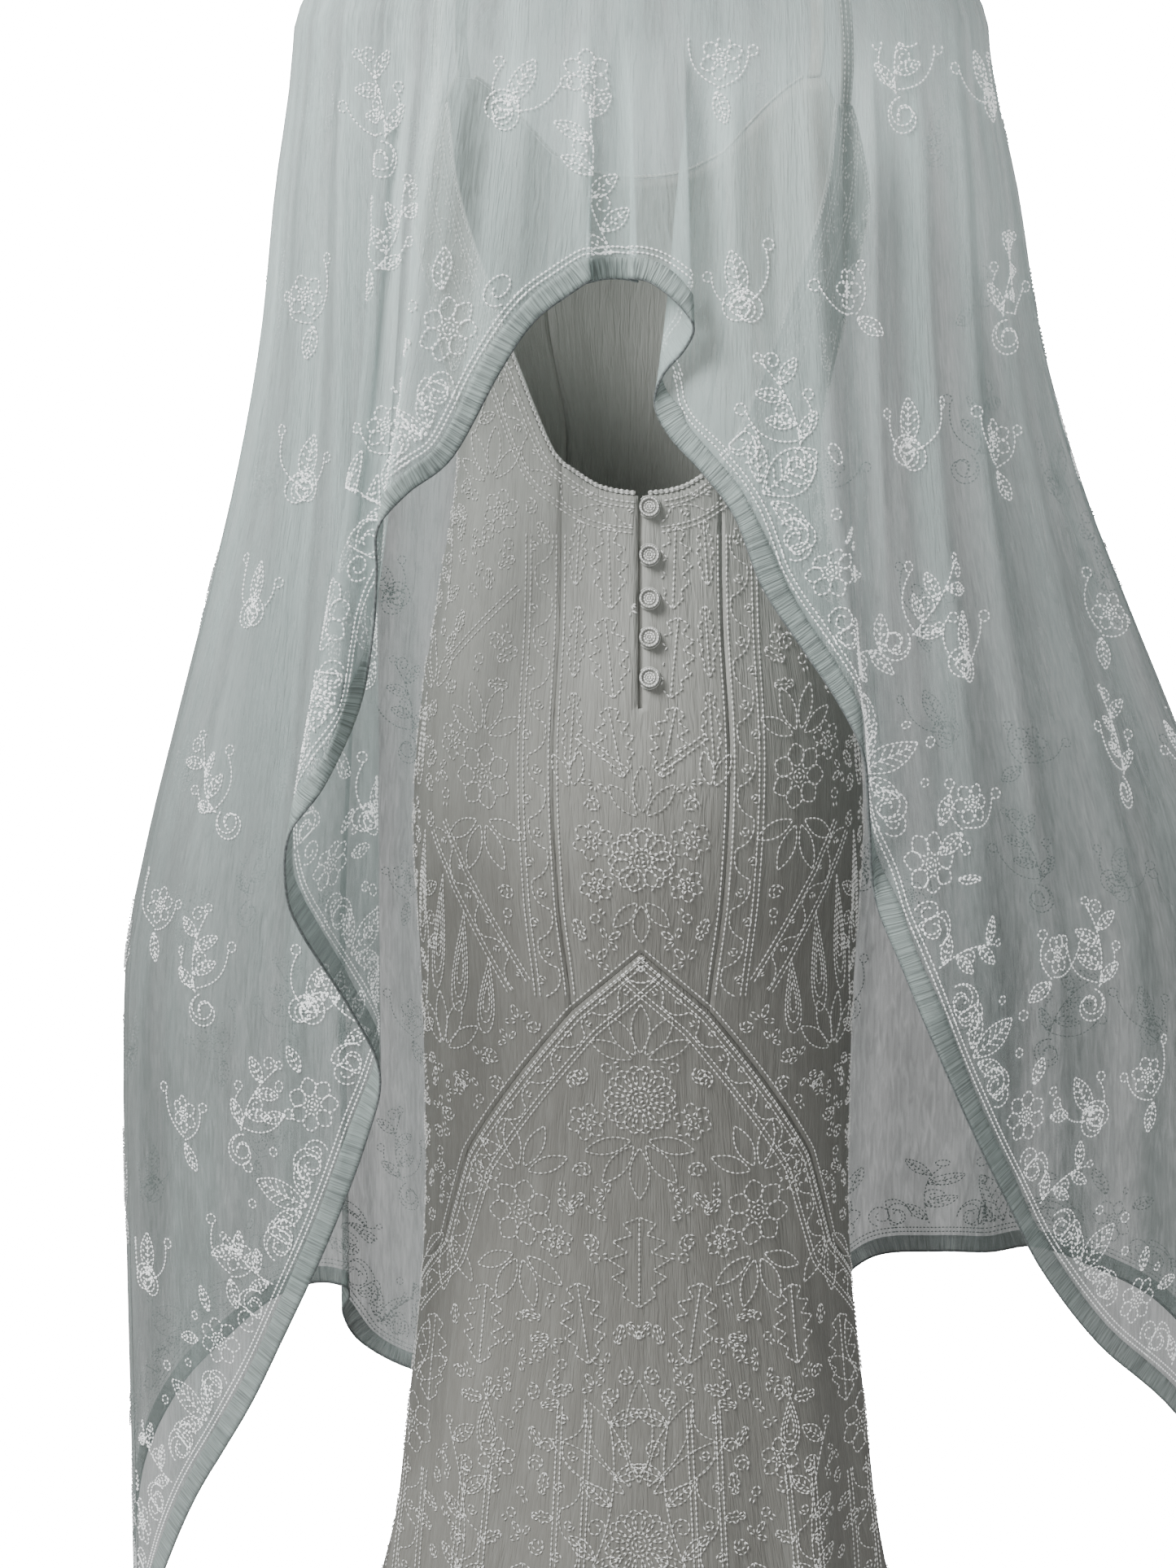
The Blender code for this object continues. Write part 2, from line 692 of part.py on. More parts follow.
def yoke_point(turn, share):
    """A point of the cape between its neckline, at share 0, and the ring round the upper arms, at 1."""
    angle = math.radians(turn)
    depth = YOKE_BACK_DEPTH if math.cos(angle) > 0 else YOKE_FRONT_DEPTH
    neck = Vector((NECK_HALF_WIDTH * math.sin(angle), -NECK_DEPTH * math.cos(angle)))
    ring = Vector((
        YOKE_HALF_WIDTH * signed_power(math.sin(angle), YOKE_ROUNDNESS),
        -depth * signed_power(math.cos(angle), YOKE_ROUNDNESS),
    ))
    place = neck.lerp(ring, math.sin(share * math.pi / 2))
    height = between(neck_height(turn), YOKE_Z, share**YOKE_DROP_POWER)
    return Vector((place.x, place.y, height))


def cape_point(folds, place, z):
    """A point of the cape below the yoke, at a place counted in rows of the folds' table and at a height."""
    turn, hem_x, hem_y, hem_z = on_curve(folds, place)
    ring = yoke_point(turn, 1.0)
    share = smooth_rows(SPREAD, z)[0] / smooth_rows(SPREAD, hem_z)[0]
    return Vector((between(ring.x, hem_x, share), between(ring.y, hem_y, share), z))


def band_top(folds, place):
    """How far to move in place and in height from the hem to the top of the band, square to the hem."""
    last = len(folds) - 1
    before, after = max(place - HEM_STEP, 0.0), min(place + HEM_STEP, last)
    z = on_curve(folds, place)[3]
    here = cape_point(folds, place, z)
    cloth = (cape_point(folds, before, z) - here).length + (cape_point(folds, after, z) - here).length
    rise = on_curve(folds, after)[3] - on_curve(folds, before)[3]
    slant = math.atan2(rise, cloth)
    if place in (0, last):
        return 0.0, BAND_WIDTH / math.cos(slant)
    sideways = -BAND_WIDTH * math.sin(slant) * (after - before) / cloth
    return min(max(sideways, -MOST_SIDEWAYS), MOST_SIDEWAYS), BAND_WIDTH * math.cos(slant)


def cape_column(folds, place):
    """The points of one column of the cape: yoke, fall, the top of the band and the hem."""
    turn, *hem = on_curve(folds, place)
    points = [yoke_point(turn, row / YOKE_ROWS) for row in range(YOKE_ROWS)]
    sideways, upwards = band_top(folds, place)
    for row in range(FALL_ROWS + 1):
        share = row / FALL_ROWS
        z = between(YOKE_Z, hem[2] + upwards, share)
        at = min(max(place + sideways * share**2, 0.0), len(folds) - 1)
        points.append(cape_point(folds, at, z))
    return points + [Vector(hem)]


def cape_columns(folds):
    """The cape's columns, on a smooth curve through the table of folds."""
    steps = (len(folds) - 1) * STEPS_PER_FOLD
    return [cape_column(folds, step / STEPS_PER_FOLD) for step in range(steps + 1)]


def cape(collection, chiffon, trim):
    """The sheer cape: a back with a high arch and a front, joined down each side, with a band on the hem."""
    back = cape_columns(BACK_FOLDS)
    front = cape_columns(FRONT_FOLDS)[1:-1]
    front.reverse()
    for name, grid in zip(("back", "front"), cut_at_seams(back + front, [0, len(back) - 1], CAPE_WALL)):
        cloth_from_grid(f"cape_{name}", grid, CAPE_WALL, collection, chiffon)
        band = [column[-2:] for column in grid]
        for edge, inside in ((0, 1), (-1, -2)):
            band[edge] = [p.lerp(q, BAND_END_SHARE) for p, q in zip(band[edge], band[inside])]
        cloth_from_grid(f"hem_band_{name}", band, BAND_WALL, collection, trim, lift=BAND_LIFT)


def main():
    for old in list(bpy.data.objects):
        bpy.data.objects.remove(old)
    gown = bpy.data.collections.new("wedding_gown")
    cutters = bpy.data.collections.new("cutters")
    bpy.context.scene.collection.children.link(gown)
    bpy.context.scene.collection.children.link(cutters)
    cloth = {name: new_material(name) for name in FINISHES}

    back = gown_panels(gown, cloth["gown_chiffon"])
    strap("right", 1, gown, cloth["gown_chiffon"])
    strap("left", -1, gown, cloth["gown_chiffon"])
    cut_slit(back, cutters)
    underlap(gown, cloth["gown_chiffon"])
    for number, height in enumerate(BUTTON_HEIGHTS, start=1):
        button(number, height, gown, cloth["button_cover"])
    corded_edges(gown, cloth["corded_edge"])
    cape(gown, cloth["cape_chiffon"], cloth["hem_band"])


main()
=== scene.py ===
"""The look of a beaded bias-cut wedding gown under a sheer seafoam cape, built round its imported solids.

The gown and the cape are thin shells of crinkled chiffon on the forms of their solids. Each cloth is also
laid out flat, as a table of its points, so that beads can be drawn on it in metres of cloth and then sewn
where the cloth is. Metres, +Z up. The back of the gown faces -Y.
"""

import math

import bmesh
import bpy
import numpy as np
from bpy.props import FloatProperty, FloatVectorProperty, PointerProperty
from mathutils import Matrix, Vector


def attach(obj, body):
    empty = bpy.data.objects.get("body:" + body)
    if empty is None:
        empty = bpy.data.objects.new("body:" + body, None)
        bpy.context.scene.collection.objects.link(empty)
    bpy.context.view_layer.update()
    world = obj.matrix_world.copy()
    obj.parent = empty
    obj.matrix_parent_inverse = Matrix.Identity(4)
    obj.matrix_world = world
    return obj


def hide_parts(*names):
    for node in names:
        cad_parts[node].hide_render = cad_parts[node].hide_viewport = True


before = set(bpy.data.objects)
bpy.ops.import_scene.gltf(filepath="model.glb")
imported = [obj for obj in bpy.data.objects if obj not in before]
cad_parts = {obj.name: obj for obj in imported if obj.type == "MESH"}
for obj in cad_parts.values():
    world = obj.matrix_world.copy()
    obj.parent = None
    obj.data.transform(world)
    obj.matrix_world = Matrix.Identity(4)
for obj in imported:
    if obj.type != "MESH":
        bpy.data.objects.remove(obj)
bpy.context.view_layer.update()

bl_info = {
    "name": "Beaded Wedding Gown",
    "version": (1, 0, 0),
    "blender": (4, 5, 0),
    "location": "3D View > Sidebar > Gown",
    "description": "Builds a beaded wedding gown and its sheer cape round the packed solids",
    "category": "Object",
}

BODY = "root"

# Cloth walls and the room left at each seam.
GOWN_WALL = 0.0011
CAPE_WALL = 0.0005
SEAM_ROOM = 0.0002

# Heights of the gown, measured from the shoulders.
HEM_Z = -1.455
FLUTE_TOP_Z = -0.98
PLACKET_END_Z = -0.560

# The figure that the gown is cut for: rows of height, half width, depth of back and depth of front.
FIGURE = (
    (-0.10, 0.158, 0.088, 0.095),
    (-0.20, 0.167, 0.100, 0.116),
    (-0.28, 0.152, 0.098, 0.122),
    (-0.38, 0.134, 0.086, 0.098),
    (-0.48, 0.148, 0.098, 0.094),
    (-0.58, 0.164, 0.120, 0.098),
    (-0.66, 0.170, 0.127, 0.100),
    (-0.74, 0.167, 0.117, 0.100),
    (-0.84, 0.164, 0.101, 0.100),
    (-0.98, 0.165, 0.094, 0.103),
    (-1.10, 0.177, 0.106, 0.116),
    (-1.25, 0.193, 0.136, 0.144),
    (-1.36, 0.222, 0.180, 0.184),
    (-1.46, 0.268, 0.236, 0.236),
)

# Flutes that open in the skirt below the knee.
FLUTES = 12
FLUTE_FIRST_DEG = 15.0
FLUTE_DEPTH = 0.020
FLUTE_DEPTH_AT_CENTRE = 0.35

# Side of the narrow centre panels: rows of height and distance from the middle.
BACK_PRINCESS = ((-0.392, 0.057), (-0.50, 0.058), (-0.60, 0.063), (-0.70, 0.059), (-0.784, 0.050))
FRONT_PRINCESS = ((-0.16, 0.066), (-0.28, 0.070), (-0.38, 0.055), (-0.60, 0.064), (-0.784, 0.050))

# Seam between the upper panels and the skirt: rows of turn from the middle, in degrees, and height.
HIP_SEAM = ((0.0, -0.738), (17.6, -0.784), (52.0, -0.904), (64.0, -0.980), (90.0, -1.030))
HIP_SEAM_TRIES = 40
SKIRT_EVENNESS = 0.75
EVEN_TURN_A_PANEL = 45.0

# Neckline, strap peak and armhole: rows of turn from the middle, in degrees, and height. The peaks that
# carry the straps lie between the two turns named for them.
BACK_PEAK_TURNS = (59.0, 68.0)
FRONT_PEAK_TURNS = (51.0, 60.0)
BACK_EDGE = (
    (0.0, -0.413), (13.0, -0.408), (25.1, -0.392), (29.5, -0.380), (35.2, -0.350), (40.6, -0.308),
    (45.2, -0.264), (51.7, -0.200), (59.0, -0.140), (68.0, -0.140), (73.0, -0.168), (79.0, -0.192),
    (90.0, -0.205),
)
FRONT_EDGE = (
    (0.0, -0.182), (12.0, -0.178), (23.6, -0.164), (30.0, -0.148), (36.0, -0.134), (42.0, -0.123),
    (47.0, -0.116), (51.0, -0.112), (60.0, -0.112), (66.0, -0.140), (72.0, -0.165), (79.0, -0.190),
    (90.0, -0.205),
)

# Straps, between the peaks: rows of distance from the middle, depth and height of the outer face's centre
# line, and the turn of the strap's width from straight across.
STRAP_WIDTH = 0.012
STRAP_SLOPE = 0.24
STRAP = (
    (0.1452, -0.0440, -0.1050, 40.0),
    (0.1405, -0.0400, -0.0550, 25.0),
    (0.1330, -0.0250, -0.0170, 10.0),
    (0.1290, -0.0100, -0.0020, 2.0),
    (0.1280, 0.0000, 0.0015, 0.0),
    (0.1285, 0.0120, -0.0010, -4.0),
    (0.1295, 0.0320, -0.0150, -16.0),
    (0.1315, 0.0500, -0.0520, -32.0),
    (0.1330, 0.0560, -0.0850, -40.0),
)

# Back closing: a slit, the strip behind it and five covered buttons.
SLIT_X = -0.0010
SLIT_WIDTH = 0.0030
UNDERLAP_WIDTH = 0.024
BUTTON_X = 0.0052
BUTTON_HEIGHTS = (-0.4205, -0.4543, -0.4848, -0.5120, -0.5399)
BUTTON_RADIUS = 0.0072
BUTTON_HEIGHT = 0.0056

# The cape's yoke: the ring round the neck and the ring round the upper arms.
NECK_HALF_WIDTH = 0.105
NECK_DEPTH = 0.078
NECK_BACK_Z = 0.018
NECK_SIDE_Z = 0.0080
NECK_FRONT_Z = -0.032
YOKE_Z = -0.10
YOKE_HALF_WIDTH = 0.250
YOKE_BACK_DEPTH = 0.125
YOKE_FRONT_DEPTH = 0.142
YOKE_ROUNDNESS = 0.8
YOKE_DROP_POWER = 1.6

# How the cape's fullness opens on its way down: rows of height and share of the whole spread.
SPREAD = (
    (-0.10, 0.0), (-0.20, 0.10), (-0.30, 0.18), (-0.40, 0.31), (-0.50, 0.48),
    (-0.60, 0.66), (-0.70, 0.83), (-0.78, 0.94), (-0.90, 0.98), (-1.36, 1.0),
)

# Folds of the cape's back, from the point at the left side, over the high arch, to the point at the right:
# rows of turn round the shoulders from the centre back, in degrees, and the x, y and z of the hem there.
BACK_FOLDS = (
    (-83.0, -0.403, 0.030, -1.354),
    (-73.0, -0.377, -0.010, -1.273),
    (-65.5, -0.343, -0.040, -1.190),
    (-59.0, -0.299, -0.070, -1.110),
    (-53.5, -0.265, -0.090, -1.037),
    (-49.0, -0.229, -0.100, -0.957),
    (-46.0, -0.200, -0.105, -0.880),
    (-43.7, -0.188, -0.122, -0.826),
    (-42.2, -0.206, -0.150, -0.771),
    (-40.8, -0.235, -0.192, -0.705),
    (-40.2, -0.2425, -0.2090, -0.672),
    (-38.9, -0.2385, -0.2190, -0.632),
    (-37.2, -0.216, -0.212, -0.600),
    (-34.8, -0.195, -0.178, -0.553),
    (-32.4, -0.185, -0.169, -0.505),
    (-30.0, -0.181, -0.175, -0.460),
    (-27.8, -0.179, -0.184, -0.429),
    (-24.2, -0.160, -0.175, -0.406),
    (-19.7, -0.130, -0.158, -0.382),
    (-15.0, -0.098, -0.146, -0.325),
    (-10.9, -0.075, -0.141, -0.292),
    (-7.1, -0.050, -0.139, -0.273),
    (-5.1, -0.036, -0.140, -0.264),
    (-4.4, -0.040, -0.131, -0.266),
    (-3.3, -0.027, -0.127, -0.263),
    (-2.3, -0.014, -0.127, -0.263),
    (-1.5, -0.004, -0.130, -0.265),
    (-0.8, -0.010, -0.139, -0.263),
    (0.6, 0.005, -0.143, -0.266),
    (2.4, 0.024, -0.149, -0.281),
    (3.4, 0.033, -0.151, -0.296),
    (4.0, 0.027, -0.142, -0.311),
    (4.6, 0.013, -0.131, -0.328),
    (5.3, 0.008, -0.122, -0.348),
    (6.6, 0.019, -0.124, -0.370),
    (8.6, 0.041, -0.140, -0.394),
    (11.2, 0.063, -0.152, -0.424),
    (13.9, 0.081, -0.162, -0.470),
    (17.4, 0.108, -0.168, -0.511),
    (21.0, 0.133, -0.175, -0.548),
    (24.0, 0.150, -0.180, -0.584),
    (26.8, 0.156, -0.168, -0.633),
    (29.6, 0.163, -0.152, -0.688),
    (32.5, 0.183, -0.160, -0.739),
    (36.5, 0.207, -0.165, -0.796),
    (41.6, 0.239, -0.150, -0.866),
    (48.3, 0.270, -0.130, -0.928),
    (55.4, 0.297, -0.110, -0.980),
    (64.0, 0.346, -0.080, -1.048),
    (75.0, 0.419, -0.030, -1.126),
    (86.0, 0.493, 0.030, -1.245),
)

# Folds of the cape's front, from the point at the left side, past the middle at -180, to the right side.
FRONT_FOLDS = (
    (-83.0, -0.403, 0.030, -1.354),
    (-90.0, -0.414, 0.075, -1.300),
    (-97.0, -0.412, 0.120, -1.235),
    (-104.0, -0.385, 0.150, -1.180),
    (-111.0, -0.345, 0.165, -1.140),
    (-118.0, -0.310, 0.200, -1.120),
    (-124.0, -0.275, 0.215, -1.112),
    (-128.5, -0.249, 0.205, -1.112),
    (-130.8, -0.246, 0.213, -1.124),
    (-133.0, -0.253, 0.228, -1.145),
    (-138.0, -0.240, 0.245, -1.178),
    (-146.0, -0.200, 0.232, -1.196),
    (-154.0, -0.158, 0.205, -1.192),
    (-162.0, -0.112, 0.232, -1.186),
    (-171.0, -0.060, 0.208, -1.180),
    (-180.0, 0.000, 0.238, -1.172),
    (-189.0, 0.060, 0.210, -1.160),
    (-198.0, 0.115, 0.236, -1.140),
    (-206.0, 0.165, 0.210, -1.118),
    (-214.0, 0.212, 0.226, -1.092),
    (-222.0, 0.262, 0.200, -1.078),
    (-230.0, 0.310, 0.212, -1.083),
    (-236.0, 0.348, 0.190, -1.070),
    (-243.0, 0.398, 0.180, -1.086),
    (-250.0, 0.445, 0.150, -1.105),
    (-258.0, 0.485, 0.110, -1.150),
    (-266.0, 0.500, 0.070, -1.205),
    (-274.0, 0.493, 0.030, -1.245),
)
BAND_WIDTH = 0.014
BAND_LIFT = 0.0006
BAND_WALL = 0.0007
HEM_STEP = 0.5
MOST_SIDEWAYS = 0.8

# How finely the cloths are made.
CENTRE_COLUMNS = 12
SIDE_COLUMNS = 36
UPPER_ROWS = 76
SKIRT_COLUMNS = 96
SKIRT_ROWS = 54
CAPE_YOKE_ROWS = 12
CAPE_FALL_ROWS = 46
CAPE_STEPS = {"back": 7, "front": 9}
STRAP_COLUMNS = 7
STRAP_STEPS_A_ROW = 6

# Ends of the panels in columns: room beside a princess seam, as seen from the centre and from the side
# panel, and beside the side seam; and the two edges of the slit.
CENTRE_ROOM = 0.0022
PANEL_ROOM = 0.0006
SIDE_ROOM = 0.002
SLIT_COLUMNS = (-0.0427, 0.0085)
CAPE_SIDE_ROOM = 0.004

# The strip behind the slit: how far inside the gown it lies and how far it runs past the slit.
UNDERLAP_INSIDE = 0.0021
UNDERLAP_BELOW_NECK = 0.003
UNDERLAP_PAST_SLIT = 0.012
UNDERLAP_COLUMNS = 9
UNDERLAP_ROWS = 48
BUTTON_LIFT = 0.0004
BUTTON_STEPS = 32

# A button's profile from the middle of its face to the middle of its back: shares of the radius and height.
BUTTON_PROFILE = (
    (0.0, 0.80), (0.30, 0.79), (0.52, 0.76), (0.60, 0.73), (0.66, 0.72), (0.72, 0.78), (0.78, 0.92),
    (0.84, 1.0), (0.92, 0.97), (0.98, 0.82), (1.0, 0.62), (0.97, 0.35), (0.86, 0.12), (0.5, 0.0), (0.0, 0.0),
)

# The corded necklines lie on the cut edge, in the middle of the solids' wall.
CORD_RADIUS = 0.0012
CORD_LIFT = 0.0017
CORD_START = 0.08
CORD_COLUMNS = 90
PART_WALL = 0.0015

# Cloth over which the cape's creases grow, from the yoke down.
CREASE_FADE = 0.06


def between(a, b, share):
    """The value at a share of the way from a to b."""
    return a + (b - a) * share


def catmull(rows, place):
    """All columns of a table at places counted in rows, on a smooth curve through the rows."""
    rows = np.asarray(rows, float)
    place = np.asarray(place, float)
    first = np.clip(np.floor(place).astype(int), 0, len(rows) - 2)
    share = (place - first)[..., None]
    a, b, c, d = (rows[np.clip(first + k, 0, len(rows) - 1)] for k in (-1, 0, 1, 2))
    bend = (2 * a - 5 * b + 4 * c - d) * share**2 + (3 * b - a - 3 * c + d) * share**3
    return 0.5 * (2 * b + (c - a) * share + bend)


def smooth(rows, at):
    """The other columns of a table at values of its first column, on a smooth curve through the rows."""
    rows = np.array(sorted(rows))
    return catmull(rows, np.interp(at, rows[:, 0], np.arange(len(rows))))[..., 1:]


def straight(rows, at):
    """The second column of a table at values of its first, on straight lines between the rows."""
    rows = np.array(sorted(rows))
    return np.interp(at, rows[:, 0], rows[:, 1])


def unit(vectors):
    return vectors / np.maximum(np.linalg.norm(vectors, axis=-1, keepdims=True), 1e-12)


def dented(creases, scale, across, z):
    """How far a cloth stands out of its smooth form, from a table of creases.

    Each row holds the turn and height of one end of the crease, those of the other, its half width in metres
    and its height in metres, less than nothing for a trough. The scale turns degrees into metres of cloth.
    """
    total = np.zeros(np.broadcast(across, z).shape)
    for turn_a, z_a, turn_b, z_b, half_width, height in creases:
        along = np.array([(turn_b - turn_a) * scale, z_b - z_a])
        length = np.hypot(*along)
        x = (across - turn_a) * scale
        y = z - z_a
        share = (x * along[0] + y * along[1]) / length**2
        off = (x * along[1] - y * along[0]) / length
        fade = np.clip(1.0 - (2.0 * share - 1.0) ** 2, 0.0, 1.0) ** 0.75
        total = total + height * fade * np.exp(-((off / half_width) ** 2))
    return total


# Creases of the gown, on the half from the centre to the right side and mirrored on the other: turn and
# height of both ends, half width and height. The same rows serve the front.
GOWN_CREASES = (
    (30.0, -0.420, 88.0, -0.395, 0.006, -0.0010),
    (42.0, -0.455, 92.0, -0.428, 0.007, 0.0009),
    (20.0, -0.470, 70.0, -0.452, 0.006, -0.0007),
    (60.0, -0.350, 100.0, -0.372, 0.006, -0.0009),
    (52.0, -0.500, 96.0, -0.560, 0.010, 0.0010),
    (30.0, -0.640, 74.0, -0.740, 0.010, 0.0009),
    (46.0, -0.660, 88.0, -0.790, 0.009, -0.0010),
    (8.0, -0.800, 38.0, -0.930, 0.009, 0.0011),
    (16.0, -0.830, 52.0, -1.020, 0.010, -0.0012),
    (-6.0, -0.880, 30.0, -1.080, 0.009, 0.0010),
    (28.0, -0.930, 66.0, -1.130, 0.011, 0.0013),
    (2.0, -0.980, 24.0, -1.200, 0.010, -0.0012),
    (-14.0, -1.010, 12.0, -1.260, 0.010, 0.0011),
    (50.0, -1.000, 82.0, -1.250, 0.012, -0.0013),
    (34.0, -1.080, 46.0, -1.350, 0.011, 0.0013),
    (14.0, -1.150, 20.0, -1.420, 0.010, 0.0012),
    (64.0, -1.120, 70.0, -1.440, 0.013, 0.0015),
)
GOWN_CREASE_SCALE = 0.0026

# Creases of the cape: the same columns. They run down from the shoulders, uneven in length and depth.
CAPE_CREASES = (
    (-79.0, -0.20, -76.0, -1.25, 0.010, 0.0040),
    (-72.0, -0.12, -68.0, -0.80, 0.009, -0.0035),
    (-68.0, -0.55, -61.0, -1.15, 0.012, 0.0045),
    (-63.0, -0.10, -62.0, -0.62, 0.008, 0.0030),
    (-57.0, -0.16, -55.0, -0.95, 0.010, -0.0040),
    (-51.0, -0.10, -50.0, -0.55, 0.008, 0.0028),
    (-45.0, -0.14, -46.0, -0.70, 0.007, -0.0024),
    (-36.0, -0.08, -37.0, -0.52, 0.007, -0.0045),
    (-33.0, -0.08, -34.5, -0.50, 0.005, 0.0028),
    (-27.0, -0.09, -27.5, -0.36, 0.008, 0.0020),
    (-20.0, -0.11, -21.5, -0.34, 0.010, -0.0018),
    (-13.0, -0.08, -13.5, -0.28, 0.007, 0.0018),
    (-6.0, -0.04, -6.0, -0.22, 0.004, 0.0020),
    (-2.5, -0.04, -2.0, -0.20, 0.004, -0.0020),
    (1.5, -0.04, 1.5, -0.22, 0.004, 0.0024),
    (6.5, -0.05, 7.5, -0.28, 0.006, -0.0028),
    (9.5, -0.06, 11.0, -0.32, 0.005, 0.0022),
    (14.5, -0.10, 16.5, -0.42, 0.008, -0.0020),
    (21.0, -0.08, 22.5, -0.48, 0.008, 0.0026),
    (29.5, -0.06, 28.5, -0.55, 0.006, -0.0045),
    (33.0, -0.06, 33.0, -0.58, 0.006, 0.0040),
    (38.5, -0.12, 39.0, -0.72, 0.009, -0.0034),
    (44.0, -0.10, 44.0, -0.78, 0.008, 0.0036),
    (50.0, -0.16, 49.0, -0.86, 0.010, -0.0042),
    (56.0, -0.08, 56.0, -0.92, 0.009, 0.0042),
    (62.0, -0.14, 61.0, -0.98, 0.011, -0.0046),
    (68.5, -0.08, 70.0, -1.02, 0.010, 0.0046),
    (75.0, -0.20, 76.5, -1.08, 0.012, -0.0046),
    (81.0, -0.12, 83.0, -1.16, 0.010, 0.0040),
    (-95.0, -0.12, -95.0, -1.15, 0.012, -0.0050),
    (-104.0, -0.20, -106.0, -1.05, 0.013, 0.0050),
    (-114.0, -0.12, -114.0, -0.85, 0.012, -0.0040),
    (-122.0, -0.30, -123.0, -1.02, 0.012, 0.0042),
    (-141.0, -0.14, -142.0, -0.72, 0.012, 0.0040),
    (-151.0, -0.26, -149.0, -1.05, 0.012, -0.0044),
    (-159.0, -0.12, -160.0, -0.60, 0.010, 0.0034),
    (-168.0, -0.18, -167.0, -1.02, 0.012, -0.0044),
    (-177.0, -0.12, -177.0, -0.70, 0.010, 0.0034),
    (-186.0, -0.22, -187.0, -1.02, 0.012, -0.0044),
    (-196.0, -0.12, -196.0, -0.80, 0.010, 0.0040),
    (-204.0, -0.18, -204.0, -0.98, 0.012, -0.0040),
    (-216.0, -0.12, -217.0, -0.86, 0.012, 0.0046),
    (-226.0, -0.20, -226.0, -0.98, 0.012, -0.0044),
    (-238.0, -0.12, -239.0, -0.92, 0.013, 0.0050),
    (-248.0, -0.20, -250.0, -1.00, 0.013, -0.0050),
    (-262.0, -0.12, -264.0, -1.05, 0.013, 0.0050),
)
CAPE_CREASE_SCALE = 0.0046
CAPE_CREASE_DEPTH = 1.4


def flute(turn, z):
    """How far the skirt stands out of the figure, in its flutes."""
    open_share = np.maximum(0.0, (FLUTE_TOP_Z - z) / (FLUTE_TOP_Z - HEM_Z)) ** 1.4
    side_share = between(FLUTE_DEPTH_AT_CENTRE, 1.0, np.sin(np.radians(turn)) ** 2)
    return FLUTE_DEPTH * open_share * side_share * np.cos(np.radians(FLUTES * (turn - FLUTE_FIRST_DEG)))


def gown_form(turn, z):
    """Points of the gown's smooth outer face. The turn runs from the centre back towards +X, in degrees."""
    turn, z = np.broadcast_arrays(np.asarray(turn, float), np.asarray(z, float))
    half_width, back, front = np.moveaxis(smooth(FIGURE, z), -1, 0)
    angle = np.radians(turn)
    out = 1.0 + flute(turn, z) / half_width
    depth = np.where(np.cos(angle) > 0, back, front)
    return np.stack([half_width * out * np.sin(angle), -depth * out * np.cos(angle), z], axis=-1)


def gown_outward(turn, z, step_turn=0.5, step_z=0.002):
    """The directions that the gown's outer face looks in."""
    across = gown_form(turn + step_turn, z) - gown_form(turn - step_turn, z)
    up = gown_form(turn, z + step_z) - gown_form(turn, z - step_z)
    return unit(np.cross(across, up))


def gown_point(turn, z):
    """Points of the gown's creased outer face."""
    turn, z = np.broadcast_arrays(np.asarray(turn, float), np.asarray(z, float))
    folded = np.abs((turn + 180.0) % 360.0 - 180.0)
    aside = np.where(folded > 90.0, 180.0 - folded, folded)
    height = dented(GOWN_CREASES, GOWN_CREASE_SCALE, aside, z)
    return gown_form(turn, z) + gown_outward(turn, z) * height[..., None]


def princess_turn(rows, z):
    """The turn of a princess seam from the middle, in degrees, at a height."""
    aside = smooth(rows, z)[..., 0]
    return np.degrees(np.arcsin(aside / smooth(FIGURE, z)[..., 0]))


def column_turn(rows, column, z):
    """The turn of a column at a height: 0 is the middle, 1 the princess seam and 2 the side seam."""
    seam = princess_turn(rows, np.clip(z, rows[-1][0], rows[0][0]))
    return np.where(column <= 1, seam * column, between(seam, 90.0, column - 1))


def hip_seam_place(rows, column):
    """Turn and height where columns of an upper panel meet the hip seam."""
    z = np.full(np.shape(column), HIP_SEAM[0][1])
    for _ in range(HIP_SEAM_TRIES):
        turn = column_turn(rows, column, z)
        z = straight(HIP_SEAM, turn)
    return turn, z


def edge_height(edge, peak_turns, turn):
    """Height of the neckline, peak and armhole: smooth curves on both sides of the flat peak."""
    neck = [row for row in edge if row[0] <= peak_turns[0]]
    armhole = [row for row in edge if row[0] >= peak_turns[1]]
    before = smooth(neck, turn)[..., 0]
    after = smooth(armhole, turn)[..., 0]
    return np.where(turn < peak_turns[1], before, after)


